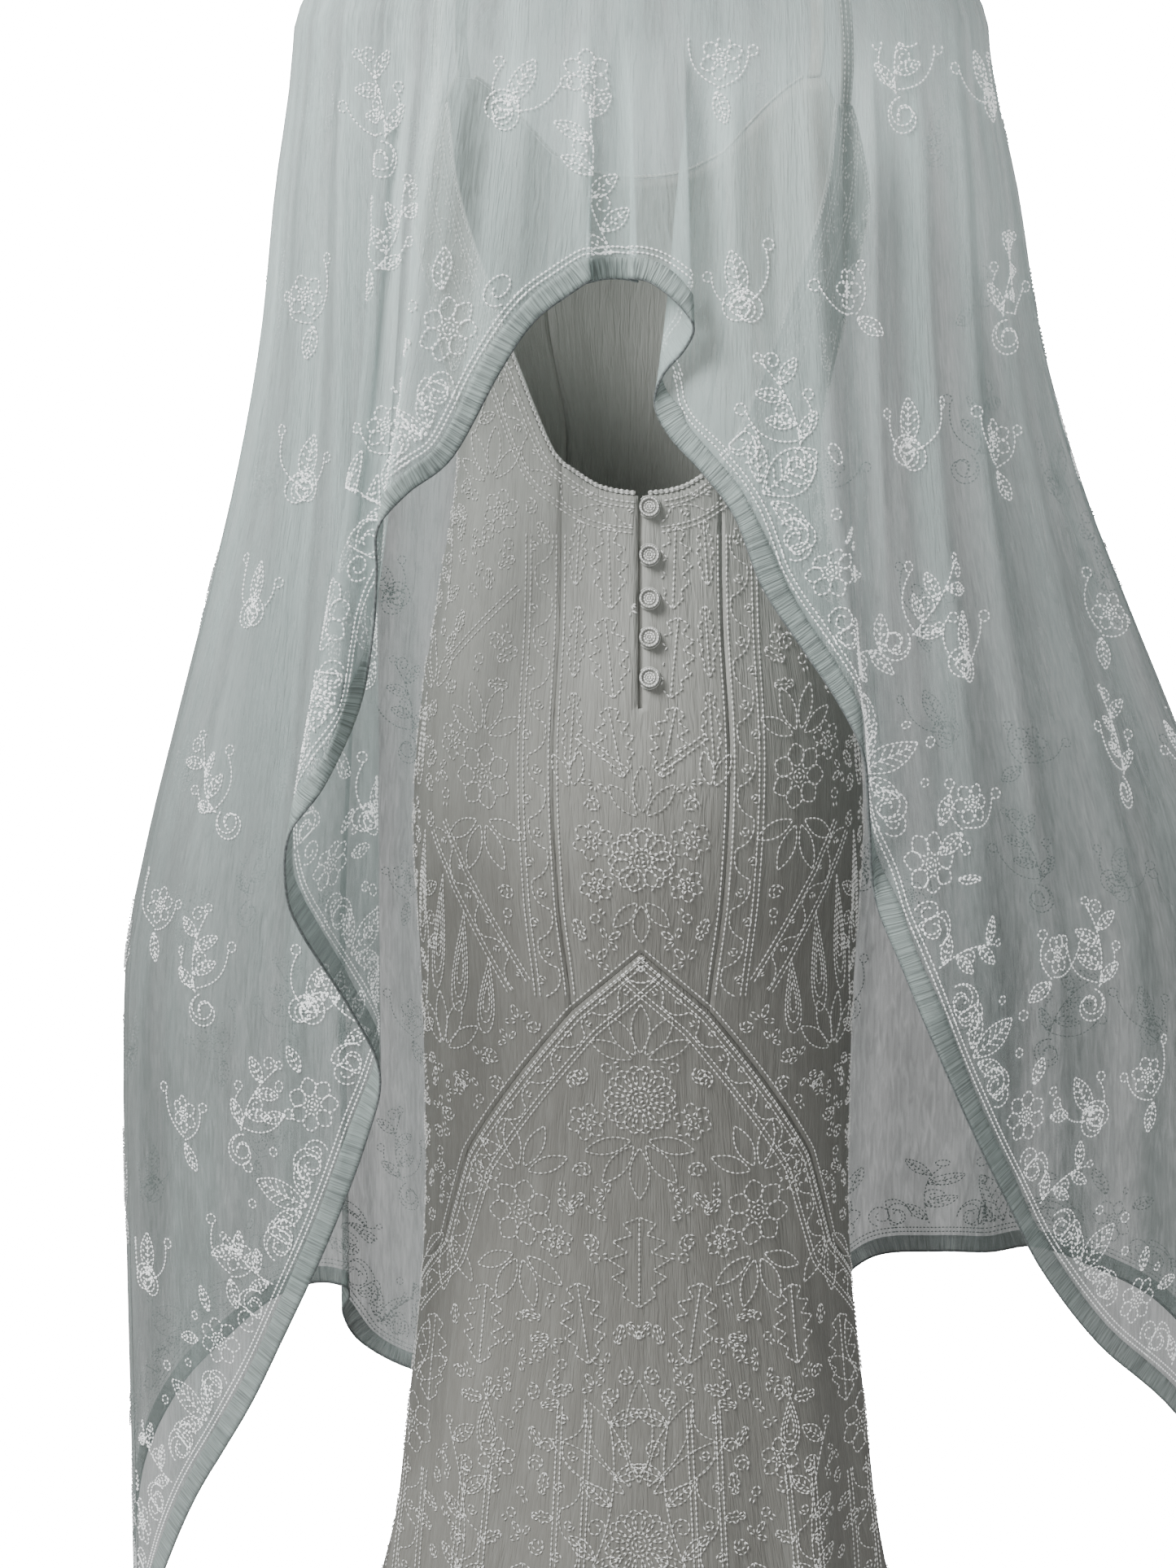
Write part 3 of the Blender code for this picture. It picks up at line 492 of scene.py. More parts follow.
class Side:
    """One side of the gown, back or front: its tables and which way it faces."""

    def __init__(self, name, edge, peak_turns, princess):
        self.name = name
        self.edge = edge
        self.peak_turns = peak_turns
        self.princess = princess
        self.facing = 1.0 if name == "back" else -1.0

    def point(self, turn, z):
        """Points of the gown at turns counted from this side's middle towards +X."""
        return gown_point(turn if self.name == "back" else 180.0 - turn, z)

    def form(self, turn, z):
        """Points of the gown's smooth form at turns counted from this side's middle towards +X."""
        return gown_form(turn if self.name == "back" else 180.0 - turn, z)

    def edge_at(self, turn):
        """Height of the upper edge at a turn."""
        return float(edge_height(self.edge, self.peak_turns, turn))

    def top(self, aside):
        """Height of the upper edge at columns from the middle."""
        turn = column_turn(self.princess, aside, self.princess[0][0])
        return edge_height(self.edge, self.peak_turns, turn)

    def upper_grid(self, columns, rows):
        """Points of the upper panels: a row for each share of the way down, a column for each number."""
        aside = np.abs(columns)
        top = self.top(aside)
        bottom = hip_seam_place(self.princess, aside)[1] + SEAM_ROOM
        z = between(top, bottom, np.linspace(0.0, 1.0, rows)[:, None])
        return self.point(np.sign(columns) * column_turn(self.princess, aside, z), z)

    def skirt_grid(self, columns, rows):
        """Points of the skirt, which spreads evenly round the hem."""
        aside = np.abs(columns)
        turn, top = hip_seam_place(self.princess, aside)
        hem_turn = between(turn, EVEN_TURN_A_PANEL * aside, SKIRT_EVENNESS)
        share = np.linspace(0.0, 1.0, rows)[:, None]
        turn = np.sign(columns) * between(turn, hem_turn, share)
        return self.point(turn, between(top - SEAM_ROOM, HEM_Z, share))


BACK = Side("back", BACK_EDGE, BACK_PEAK_TURNS, BACK_PRINCESS)
FRONT = Side("front", FRONT_EDGE, FRONT_PEAK_TURNS, FRONT_PRINCESS)


def yoke_point(turn, share):
    """Points of the cape between its neckline, at share 0, and the ring round the upper arms, at 1."""
    turn, share = np.broadcast_arrays(np.asarray(turn, float), np.asarray(share, float))
    sine, cosine = np.sin(np.radians(turn)), np.cos(np.radians(turn))
    depth = np.where(cosine > 0, YOKE_BACK_DEPTH, YOKE_FRONT_DEPTH)
    out = np.sin(share * math.pi / 2)
    ring_x = YOKE_HALF_WIDTH * np.sign(sine) * np.abs(sine) ** YOKE_ROUNDNESS
    ring_y = -depth * np.sign(cosine) * np.abs(cosine) ** YOKE_ROUNDNESS
    neck_z = between(NECK_SIDE_Z, np.where(cosine > 0, NECK_BACK_Z, NECK_FRONT_Z), cosine**2)
    x = between(NECK_HALF_WIDTH * sine, ring_x, out)
    y = between(-NECK_DEPTH * cosine, ring_y, out)
    return np.stack([x, y, between(neck_z, YOKE_Z, share**YOKE_DROP_POWER)], axis=-1)


class Cape:
    """The cape's back or front, on its table of folds."""

    def __init__(self, name, folds):
        self.name = name
        self.folds = folds
        self.last = len(folds) - 1
        self.facing = 1.0 if name == "back" else -1.0

    def form(self, place, z):
        """Points below the yoke, at places counted in rows of the folds' table and at heights."""
        place, z = np.broadcast_arrays(np.asarray(place, float), np.asarray(z, float))
        turn, hem_x, hem_y, hem_z = np.moveaxis(catmull(self.folds, place), -1, 0)
        ring = yoke_point(turn, 1.0)
        share = smooth(SPREAD, z)[..., 0] / smooth(SPREAD, hem_z)[..., 0]
        x, y = between(ring[..., 0], hem_x, share), between(ring[..., 1], hem_y, share)
        return np.stack([x, y, z], axis=-1)

    def point(self, place, z, step=0.02, step_z=0.002):
        """Points of the creased cloth below the yoke."""
        across = self.form(place + step, z) - self.form(place - step, z)
        up = self.form(place, z + step_z) - self.form(place, z - step_z)
        outward = unit(np.cross(across, up)) * self.facing
        turn = catmull(self.folds, place)[..., 0]
        height = dented(CAPE_CREASES, CAPE_CREASE_SCALE, turn, z) * CAPE_CREASE_DEPTH
        fade = np.clip((YOKE_Z - z) / CREASE_FADE, 0.0, 1.0)
        return self.form(place, z) + outward * (height * fade)[..., None]

    def band_top(self, place):
        """How far to move in place and in height from the hem to the top of the band, square to the hem."""
        before = np.maximum(place - HEM_STEP, 0.0)
        after = np.minimum(place + HEM_STEP, self.last)
        z, z_before, z_after = (catmull(self.folds, p)[..., 3] for p in (place, before, after))
        here = self.form(place, z)
        cloth = np.linalg.norm(self.form(before, z) - here, axis=-1)
        cloth += np.linalg.norm(self.form(after, z) - here, axis=-1)
        slant = np.arctan2(z_after - z_before, cloth)
        sideways = -BAND_WIDTH * np.sin(slant) * (after - before) / cloth
        sideways = np.clip(sideways, -MOST_SIDEWAYS, MOST_SIDEWAYS)
        at_end = (place <= 0) | (place >= self.last)
        upwards = np.where(at_end, BAND_WIDTH / np.cos(slant), BAND_WIDTH * np.cos(slant))
        return np.where(at_end, 0.0, sideways), upwards

    def hem_rows(self, place, shares):
        """Points of the band's strip of cloth, from its top at share 0 to the hem at share 1."""
        sideways, upwards = self.band_top(place)
        hem_z = catmull(self.folds, place)[..., 3]
        left = 1.0 - np.asarray(shares)[:, None]
        return self.point(np.clip(place + sideways * left, 0.0, self.last), hem_z + upwards * left)

    def grid(self, place):
        """Points of the whole cloth, a row for each height and a column for each place."""
        turn, _, _, hem_z = np.moveaxis(catmull(self.folds, place), -1, 0)
        yoke = yoke_point(turn, np.linspace(0.0, 1.0, CAPE_YOKE_ROWS)[:-1, None])
        sideways, upwards = self.band_top(place)
        share = np.linspace(0.0, 1.0, CAPE_FALL_ROWS)[:, None]
        at = np.clip(place + sideways * share**2, 0.0, self.last)
        fall = self.point(at, between(YOKE_Z, hem_z + upwards, share))
        return np.concatenate([yoke, fall, self.hem_rows(place, (0.35, 0.7, 1.0))])


CAPE_BACK = Cape("back", BACK_FOLDS)
CAPE_FRONT = Cape("front", FRONT_FOLDS)


def material_tree(name):
    """A new material and its tree, with the one shader that it starts with."""
    made = bpy.data.materials.new(name)
    made.use_nodes = True
    return made, Wire(made.node_tree), made.node_tree.nodes["Principled BSDF"]


class Wire:
    """A shader output that is reckoned with like a number."""

    def __init__(self, tree, socket=None):
        self.tree = tree
        self.socket = socket

    def feed(self, entry, value):
        """Links an input to a wire, or sets it to a value."""
        if isinstance(value, Wire):
            self.tree.links.new(value.socket, entry)
        else:
            entry.default_value = value

    def node(self, kind, settings=None, inputs=None, output=0):
        """An output of a new node, whose settings are set before its inputs."""
        made = self.tree.nodes.new(kind)
        for setting, value in (settings or {}).items():
            setattr(made, setting, value)
        for entry, value in (inputs or {}).items():
            self.feed(made.inputs[entry], value)
        return Wire(self.tree, made.outputs[output])

    def maths(self, operation, first, second):
        return self.node("ShaderNodeMath", {"operation": operation}, {0: first, 1: second})

    def __add__(self, other):
        return self.maths("ADD", self, other)

    def __radd__(self, other):
        return self.maths("ADD", other, self)

    def __sub__(self, other):
        return self.maths("SUBTRACT", self, other)

    def __rsub__(self, other):
        return self.maths("SUBTRACT", other, self)

    def __mul__(self, other):
        return self.maths("MULTIPLY", self, other)

    def __rmul__(self, other):
        return self.maths("MULTIPLY", other, self)

    def __truediv__(self, other):
        return self.maths("DIVIDE", self, other)

    def __rtruediv__(self, other):
        return self.maths("DIVIDE", other, self)

    def __pow__(self, other):
        return self.maths("POWER", self, other)

    def __gt__(self, other):
        return self.maths("GREATER_THAN", self, other)


def noise(start, vector, scale, detail=2.0, distortion=0.0, dimensions="2D"):
    """Cloudy values from 0 to 1 over a vector stretched by a scale."""
    stretched = start.node("ShaderNodeMapping", inputs={"Vector": vector, "Scale": scale})
    inputs = {"Vector": stretched, "Scale": 1.0, "Detail": detail, "Distortion": distortion}
    return start.node("ShaderNodeTexNoise", {"noise_dimensions": dimensions}, inputs)


def ramp(start, value, low, high):
    """0 to 1 as the value goes from low to high."""
    inputs = {"Value": value, "From Min": low, "From Max": high}
    return start.node("ShaderNodeMapRange", inputs=inputs)


def blend(start, share, first, second):
    """A colour that goes from the first to the second."""
    return start.node("ShaderNodeMix", {"data_type": "RGBA"}, {0: share, 6: first, 7: second}, 2)


def opaque(colour):
    return (*colour, 1.0)


def ridged(start, shader, strength, rise, height):
    """Gives a finish ridges that rise so many metres."""
    inputs = {"Strength": strength, "Distance": rise, "Height": height}
    start.feed(shader.inputs["Normal"], start.node("ShaderNodeBump", inputs=inputs))


# Crinkles, broad waves and gathers in chiffon: how many lie in a metre across and in a metre down.
CRINKLES = (420.0, 46.0)
WAVES = (60.0, 9.0)
GATHERS = (24.0, 1.3)


def chiffon(name, light, deep, crinkle, veil=1.0, crinkles=CRINKLES, fall=(-0.35, -1.35)):
    """Crinkled chiffon: two colours, the second mottled in with its crinkles' noise and painted in below as
    shade, and a veil that thins there.

    The fall is the heights between which the second colour comes in: a painted shade that darkens the cloth
    towards the bottom, as if less light reached it there.
    """
    made, start, shader = material_tree(name)
    laid = start.node("ShaderNodeUVMap", {"uv_map": "cloth"})
    fine = noise(start, laid, (*crinkles, 1.0), 1.6, 0.6)
    broad = noise(start, laid, (*WAVES, 1.0), 1.0)
    height = fine * 0.8 + broad * 1.4
    # Painted shade: the second colour grows with depth down the fall, so the cloth darkens towards the
    # bottom as if lit from above; the crinkle and wave noise only mottle the tone.
    down = ramp(start, start.node("ShaderNodeSeparateXYZ", inputs={"Vector": laid}, output=1), *fall)
    tone = ramp(start, fine * 0.40 + broad * 0.30 + down * 0.75, 0.28, 1.15)
    start.feed(shader.inputs["Base Color"], blend(start, tone, opaque(light), opaque(deep)))
    start.feed(shader.inputs["Roughness"], 0.48 + fine * 0.25)
    ridged(start, shader, 0.85, crinkle, height)
    if veil < 1.0:
        gathers = ramp(start, noise(start, laid, (*GATHERS, 1.0), 1.0), 0.30, 0.70)
        start.feed(shader.inputs["Alpha"], veil - 0.30 + fine * 0.30 + broad * 0.12 + gathers * 0.24)
    return made


def gathered(name, light, deep):
    """A doubled band with fine gathers across it."""
    made, start, shader = material_tree(name)
    laid = start.node("ShaderNodeUVMap", {"uv_map": "cloth"})
    fine = noise(start, laid, (900.0, 60.0, 1.0), 1.0)
    tone = ramp(start, fine, 0.3, 0.7)
    start.feed(shader.inputs["Base Color"], blend(start, tone, opaque(light), opaque(deep)))
    start.feed(shader.inputs["Roughness"], 0.55 + fine * 0.2)
    ridged(start, shader, 1.0, 0.0009, fine)
    start.feed(shader.inputs["Alpha"], 0.42 + fine * 0.30)
    return made


def twisted(name, light, deep, pitch):
    """Thread wound over a core: two colours and fine ridges, by place on the dress."""
    made, start, shader = material_tree(name)
    here = start.node("ShaderNodeTexCoord", output="Object")
    fine = noise(start, here, (pitch, pitch, pitch), 1.0, 0.0, "3D")
    tone = ramp(start, fine, 0.3, 0.7)
    start.feed(shader.inputs["Base Color"], blend(start, tone, opaque(light), opaque(deep)))
    start.feed(shader.inputs["Roughness"], 0.45 + fine * 0.3)
    ridged(start, shader, 0.8, 0.0003, fine)
    return made


def glass(name, light, deep, roughness, painted_glow):
    """Silver-lined glass beads, each of its own tone, with a painted highlight: they glow in their light
    colour though no bead is a lamp.
    """
    made, start, shader = material_tree(name)
    tone = start.node("ShaderNodeAttribute", {"attribute_name": "tone"}, output="Fac")
    start.feed(shader.inputs["Base Color"], blend(start, tone, opaque(light), opaque(deep)))
    start.feed(shader.inputs["Roughness"], roughness + tone * 0.15)
    # Painted highlight: each bead glows in its light colour at the given strength, though no bead is a lamp.
    shader.inputs["Emission Color"].default_value = opaque(light)
    shader.inputs["Emission Strength"].default_value = painted_glow
    return made


def finishes():
    """The materials by name, made once."""
    if "gown_cloth" not in bpy.data.materials:
        # The falls given to the gown's and the cape's chiffon paint shade in: both darken towards the bottom
        # between those heights.
        chiffon("gown_cloth", (0.40, 0.41, 0.38), (0.20, 0.197, 0.178), 0.0012, fall=(-0.40, -0.72))
        chiffon("cape_cloth", (0.76, 0.91, 0.89), (0.22, 0.265, 0.252), 0.0018, 0.26, fall=(-0.15, -0.85))
        gathered("band_cloth", (0.50, 0.60, 0.57), (0.20, 0.24, 0.23))
        chiffon("button_cloth", (0.34, 0.345, 0.325), (0.17, 0.17, 0.16), 0.0002, 1.0, (700.0, 700.0))
        twisted("cord_cloth", (0.70, 0.71, 0.68), (0.42, 0.43, 0.40), 700.0)
        # Painted highlight: the gown's beads and the cape's back beads glow in their light colour; the
        # cape's front beads are a darker copy with no glow, painted shade for beads seen unlit through the
        # cape.
        glass("gown_beads", (0.93, 0.93, 0.91), (0.46, 0.47, 0.44), 0.22, 0.17)
        glass("cape_beads", (0.98, 0.99, 0.99), (0.74, 0.77, 0.77), 0.26, 0.55)
        glass("cape_front_shaded_beads", (0.86, 0.88, 0.88), (0.45, 0.48, 0.48), 0.30, 0.0)
        twisted("stitching", (0.07, 0.085, 0.085), (0.19, 0.21, 0.21), 500.0)
    return bpy.data.materials


def place(made, slot, material, *nodes):
    """Puts a piece in the scene, on the dress, with its finish and the solids that it stands for."""
    bpy.context.scene.collection.objects.link(made)
    made.data.materials.append(finishes()[material])
    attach(made, BODY)
    if nodes:
        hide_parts(*nodes)
    return made


def grid_mesh(name, points, gap=None):
    """A smooth mesh through a grid of points, laid out as cloth in metres.

    The rows go down the piece and the columns from left to right as its face is seen. A gap leaves out the
    faces after one column, in that many rows from the top.
    """
    rows, columns = points.shape[:2]
    shape = bmesh.new()
    bmesh.ops.create_grid(shape, x_segments=columns - 1, y_segments=rows - 1, size=0.5)
    if gap:
        faces = []
        for face in shape.faces:
            middle = face.calc_center_median()
            column = (middle.x + 0.5) * (columns - 1)
            if int(column) == gap[0] and (0.5 - middle.y) * (rows - 1) < gap[1]:
                faces.append(face)
        bmesh.ops.delete(shape, geom=faces, context="FACES")
    mesh = bpy.data.meshes.new(name)
    shape.to_mesh(mesh)
    shape.free()
    flat = np.empty(len(mesh.vertices) * 3, np.float32)
    mesh.vertices.foreach_get("co", flat)
    flat = flat.reshape(-1, 3)
    column = np.rint((flat[:, 0] + 0.5) * (columns - 1)).astype(int)
    row = np.rint((0.5 - flat[:, 1]) * (rows - 1)).astype(int)
    mesh.vertices.foreach_set("co", points[row, column].astype(np.float32).ravel())
    steps = np.linalg.norm(np.diff(points, axis=1), axis=-1).mean(axis=0)
    across = np.concatenate([[0.0], np.cumsum(steps)])
    laid = np.stack([across[column], points[row, column, 2]], axis=-1)
    corners = np.empty(len(mesh.loops), np.int32)
    mesh.loops.foreach_get("vertex_index", corners)
    mesh.uv_layers.new(name="cloth").data.foreach_set("uv", laid[corners].astype(np.float32).ravel())
    mesh.shade_smooth()
    mesh.update()
    return mesh


def cloth(name, points, wall, offset=-1.0, gap=None):
    """A cloth piece through a grid of points, with its wall behind it, or before it at an offset of 1."""
    made = bpy.data.objects.new(name, grid_mesh(name, points, gap))
    shell = made.modifiers.new("wall", "SOLIDIFY")
    shell.thickness = wall
    shell.offset = offset
    return made


def cut_of(points):
    """The width, mean length and area of the cloth that a grid of points is cut from."""
    across = np.linalg.norm(np.diff(points, axis=1), axis=-1).sum(axis=1)
    down = np.linalg.norm(np.diff(points, axis=0), axis=-1).sum(axis=0)
    sides = np.cross(points[1:, :-1] - points[:-1, :-1], points[:-1, 1:] - points[:-1, :-1])
    area = float(np.linalg.norm(sides, axis=-1).sum())
    width, length = float(across.max()), float(down.mean())
    return (width, length), min(area, width * length)


def declare(points):
    """Works out the flat size and the area of the cloth that a grid of points is cut from, and keeps
    neither.
    """
    flat, area = cut_of(points)


def grid_outward(points):
    """The directions that a grid of points looks in."""
    across = np.gradient(points, axis=1)
    down = np.gradient(points, axis=0)
    return unit(np.cross(down, across))


class GownSettings(bpy.types.PropertyGroup):
    """Sizes of the gown's cloth."""

    wall: FloatProperty(
        name="Wall",
        description="Thickness of the gown's chiffon on its ground",
        default=GOWN_WALL,
        unit="LENGTH",
    )


class CapeSettings(bpy.types.PropertyGroup):
    """Sizes of the cape's cloth."""

    wall: FloatProperty(
        name="Wall",
        description="Thickness of the cape's chiffon",
        default=CAPE_WALL,
        unit="LENGTH",
    )
    band_wall: FloatProperty(
        name="Band wall",
        description="Thickness of the gathered band on the cape's hem",
        default=BAND_WALL,
        unit="LENGTH",
    )


class StageSettings(bpy.types.PropertyGroup):
    """The photographer's camera and lights."""

    camera: FloatVectorProperty(
        name="Camera",
        description="Place of the camera",
        default=(-0.038, -1.9, -0.31),
        subtype="TRANSLATION",
    )
    tilt: FloatProperty(
        name="Tilt",
        description="How far the camera looks down from the horizontal",
        default=math.radians(9.7),
        subtype="ANGLE",
        unit="ROTATION",
    )
    lens: FloatProperty(
        name="Lens",
        description="Focal length in millimetres",
        default=58.5,
        unit="CAMERA",
    )
    backdrop: FloatProperty(
        name="Backdrop",
        description="Brightness of the white backdrop as the camera sees it",
        default=40.0,
    )
    through: FloatProperty(
        name="Through cloth",
        description="Brightness of the backdrop seen through the cape",
        default=0.52,
    )


class GOWN_OT_panels(bpy.types.Operator):
    """Builds the six upper panels and the two skirts of the gown"""

    bl_idname = "gown.panels"
    bl_label = "Gown panels"

    def execute(self, context):
        wall = context.scene.gown_settings.wall
        left, right = SLIT_COLUMNS
        half = np.linspace(left, -1.0 + CENTRE_ROOM, CENTRE_COLUMNS)[::-1]
        centre = np.concatenate([half, np.linspace(right, 1.0 - CENTRE_ROOM, CENTRE_COLUMNS)])
        outer = np.linspace(1.0 + PANEL_ROOM, 2.0 - SIDE_ROOM, SIDE_COLUMNS)
        skirt = np.linspace(-2.0 + SIDE_ROOM, 2.0 - SIDE_ROOM, SKIRT_COLUMNS)
        for side in (BACK, FRONT):
            order = slice(None, None, 1 if side is BACK else -1)
            top, bottom = side.top(0.0), HIP_SEAM[0][1]
            slit_rows = (top - PLACKET_END_Z) / (top - bottom) * (UPPER_ROWS - 1)
            gap = (CENTRE_COLUMNS - 1, slit_rows) if side is BACK else None
            cuts = (("centre", centre, gap), ("left", -outer[::-1], None), ("right", outer, None))
            for name, columns, cut in cuts:
                node = f"{side.name}_{name}_panel"
                points = side.upper_grid(columns, UPPER_ROWS)[:, order]
                made = cloth(f"{node}_cloth", points, wall, gap=cut)
                place(made, "gown_chiffon", "gown_cloth", node)
                declare(points)
            points = side.skirt_grid(skirt, SKIRT_ROWS)[:, order]
            made = cloth(f"skirt_{side.name}_cloth", points, wall)
            place(made, "gown_chiffon", "gown_cloth", f"skirt_{side.name}")
            declare(points)
        return {"FINISHED"}


def peak(side):
    """The row of a strap's end on a peak, just above it: distance aside, depth, height, turn and slope."""
    z = side.edge_at(side.peak_turns[0])
    near, far = (side.form(turn, z) for turn in side.peak_turns)
    middle = (near + far) / 2
    width_turn = math.degrees(math.atan2(far[1] - near[1], far[0] - near[0]))
    return (middle[0], middle[1], z + SEAM_ROOM, width_turn, 0.0)


def strap_grid(way):
    """Points of a strap over one shoulder, from the back's peak to the front's."""
    rows = [peak(BACK)] + [(*row, STRAP_SLOPE) for row in STRAP] + [peak(FRONT)]
    steps = (len(rows) - 1) * STRAP_STEPS_A_ROW + 1
    laid = catmull(rows, np.linspace(0.0, len(rows) - 1, steps))[:, None, :]
    aside, depth, height, width_turn, slope = np.moveaxis(laid, -1, 0)
    across = np.linspace(-STRAP_WIDTH / 2, STRAP_WIDTH / 2, STRAP_COLUMNS)
    level = np.cos(np.radians(width_turn))
    x = way * (aside + across * level)
    y = depth + across * np.sin(np.radians(width_turn))
    points = np.stack([x, y, height - slope * level**2 * across], axis=-1)
    return points[:, ::-1] if way > 0 else points


class GOWN_OT_straps(bpy.types.Operator):
    """Builds the two narrow shoulder straps"""

    bl_idname = "gown.straps"
    bl_label = "Straps"

    def execute(self, context):
        for side, way in (("left", -1), ("right", 1)):
            points = strap_grid(way)
            made = cloth(f"strap_{side}_cloth", points, context.scene.gown_settings.wall)
            place(made, "gown_chiffon", "gown_cloth", f"strap_{side}")
            declare(points)
        return {"FINISHED"}


def turn_at(x, z):
    """The turn of a point at a distance from the middle, in degrees."""
    return np.degrees(np.arcsin(x / smooth(FIGURE, z)[..., 0]))


def button_frame(height):
    """The place of a button's foot and the way that it faces."""
    turn = turn_at(BUTTON_X, height)
    facing = gown_outward(turn, height)
    return gown_point(turn, height) + facing * BUTTON_LIFT, facing


def frame_of(facing):
    """Two directions square to a facing one and to each other: across and up."""
    across = unit(np.cross((0.0, 0.0, 1.0), facing))
    return across, np.cross(facing, across)


def button_mesh(name, height):
    """A domed disc with a rolled rim, laid out for its finish."""
    shape = bmesh.new()
    corners = [shape.verts.new((BUTTON_RADIUS * out, 0.0, BUTTON_HEIGHT * up)) for out, up in BUTTON_PROFILE]
    edges = [shape.edges.new(pair) for pair in zip(corners, corners[1:])]
    bmesh.ops.spin(
        shape,
        geom=corners + edges,
        cent=(0.0, 0.0, 0.0),
        axis=(0.0, 0.0, 1.0),
        angle=math.tau,
        steps=BUTTON_STEPS,
        use_merge=True,
    )
    bmesh.ops.remove_doubles(shape, verts=shape.verts, dist=0.00001)
    bmesh.ops.recalc_face_normals(shape, faces=shape.faces)
    laid = shape.loops.layers.uv.new("cloth")
    foot, facing = button_frame(height)
    across, up = frame_of(facing)
    for face in shape.faces:
        for corner in face.loops:
            corner[laid].uv = corner.vert.co.xy
    for vertex in shape.verts:
        x, y, z = vertex.co
        vertex.co = foot + across * x + up * y + facing * z
    mesh = bpy.data.meshes.new(name)
    shape.to_mesh(mesh)
    shape.free()
    mesh.shade_smooth()
    return mesh


class GOWN_OT_closing(bpy.types.Operator):
    """Builds the strip behind the slit and the covered buttons beside it"""

    bl_idname = "gown.closing"
    bl_label = "Back closing"

    def execute(self, context):
        top = BACK_EDGE[0][1] - UNDERLAP_BELOW_NECK
        bottom = PLACKET_END_Z - UNDERLAP_PAST_SLIT
        z = np.linspace(top, bottom, UNDERLAP_ROWS)[:, None]
        x = SLIT_X + UNDERLAP_WIDTH * np.linspace(-0.5, 0.5, UNDERLAP_COLUMNS)
        turn = turn_at(x, z)
        points = gown_point(turn, z) - gown_outward(turn, z) * UNDERLAP_INSIDE
        made = cloth("underlap_cloth", points, context.scene.gown_settings.wall)
        place(made, "gown_chiffon", "gown_cloth", "placket_underlap")
        declare(points)
        for number, height in enumerate(BUTTON_HEIGHTS, start=1):
            mesh = button_mesh(f"covered_button_{number}", height)
            made = bpy.data.objects.new(mesh.name, mesh)
            place(made, "button_cover", "button_cloth", f"button_{number}")
        return {"FINISHED"}


EDGE_STEP = 0.005


def neckline_points(side, columns):
    """Points just off the cut edge of the panels, in the middle of the wall."""
    aside = np.abs(columns)
    way = np.sign(columns)
    top = side.top(aside)
    tops = side.point(way * column_turn(side.princess, aside, top), top)
    low = top - EDGE_STEP
    below = side.point(way * column_turn(side.princess, aside, low), low)
    along = unit(np.gradient(tops, axis=0))
    up = tops - below
    off_edge = unit(up - along * np.sum(up * along, axis=-1, keepdims=True))
    inward = unit(tops * (-1.0, -1.0, 0.0))
    return tops + off_edge * CORD_LIFT + inward * PART_WALL / 2


def tube(name, points, radius, resolution=2):
    """A round cord through a row of points."""
    curve = bpy.data.curves.new(name, "CURVE")
    curve.dimensions = "3D"
    curve.bevel_depth = radius
    curve.bevel_resolution = resolution
    curve.use_fill_caps = True
    line = curve.splines.new("POLY")
    line.points.add(len(points) - 1)
    for entry, point in zip(line.points, points):
        entry.co = (*point, 1.0)
    line.use_smooth = True
    return bpy.data.objects.new(name, curve)


def peak_column(side):
    """The column at the near corner of a side's peak."""
    seam = princess_turn(side.princess, side.princess[0][0])
    return 1.0 + (side.peak_turns[0] - seam) / (90.0 - seam)


def neck_lines():
    """The corded necklines: name and points."""
    half = np.linspace(CORD_START, float(peak_column(BACK)), CORD_COLUMNS)
    yield "neck_cord_back_right", neckline_points(BACK, half)
    yield "neck_cord_back_left", neckline_points(BACK, -half)
    last = float(peak_column(FRONT))
    yield "neck_cord_front", neckline_points(FRONT, np.linspace(-last, last, CORD_COLUMNS * 2))


class GOWN_OT_cords(bpy.types.Operator):
    """Builds the corded necklines of the back and the front"""

    bl_idname = "gown.cords"
    bl_label = "Neck cords"

    def execute(self, context):
        for node, points in neck_lines():
            place(tube(f"{node}_core", points, CORD_RADIUS), "corded_edge", "cord_cloth", node)
        return {"FINISHED"}


def cape_places(cape):
    """The places of the cape's columns, from left to right as its face is seen."""
    places = np.linspace(CAPE_SIDE_ROOM, cape.last - CAPE_SIDE_ROOM, cape.last * CAPE_STEPS[cape.name] + 1)
    return places if cape.name == "back" else places[::-1]


class GOWN_OT_cape(bpy.types.Operator):
    """Builds the sheer back and front of the cape"""

    bl_idname = "gown.cape"
    bl_label = "Cape"

    def execute(self, context):
        for cape in (CAPE_BACK, CAPE_FRONT):
            points = cape.grid(cape_places(cape))
            made = cloth(f"cape_{cape.name}_cloth", points, context.scene.cape_settings.wall)
            place(made, "cape_chiffon", "cape_cloth", f"cape_{cape.name}")
            declare(points)
        return {"FINISHED"}


# The band's rows, as shares of the way from its top to the hem, and the stitched edge's thread.
BAND_SHARES = (0.0, 0.25, 0.5, 0.75, 1.0)
STITCHED_RADIUS = 0.0010


def band_points(cape, lift):
    """Points of the band along the hem, lifted off the cape's cloth."""
    points = cape.hem_rows(cape_places(cape), BAND_SHARES)
    return points + grid_outward(points) * lift


class GOWN_OT_bands(bpy.types.Operator):
    """Builds the gathered bands on the cape's hem and their stitched edges"""

    bl_idname = "gown.bands"
    bl_label = "Hem bands"

    def execute(self, context):
        wall = context.scene.cape_settings.band_wall
        for cape in (CAPE_BACK, CAPE_FRONT):
            points = band_points(cape, BAND_LIFT)
            made = cloth(f"hem_band_{cape.name}_cloth", points, wall, 1.0)
            place(made, "hem_band", "band_cloth", f"hem_band_{cape.name}")
            declare(points)
            edge = band_points(cape, BAND_LIFT / 2)[-1]
            stitched = tube(f"stitched_edge_{cape.name}", edge, STITCHED_RADIUS, 1)
            place(stitched, "hem_band", "stitching")
        return {"FINISHED"}


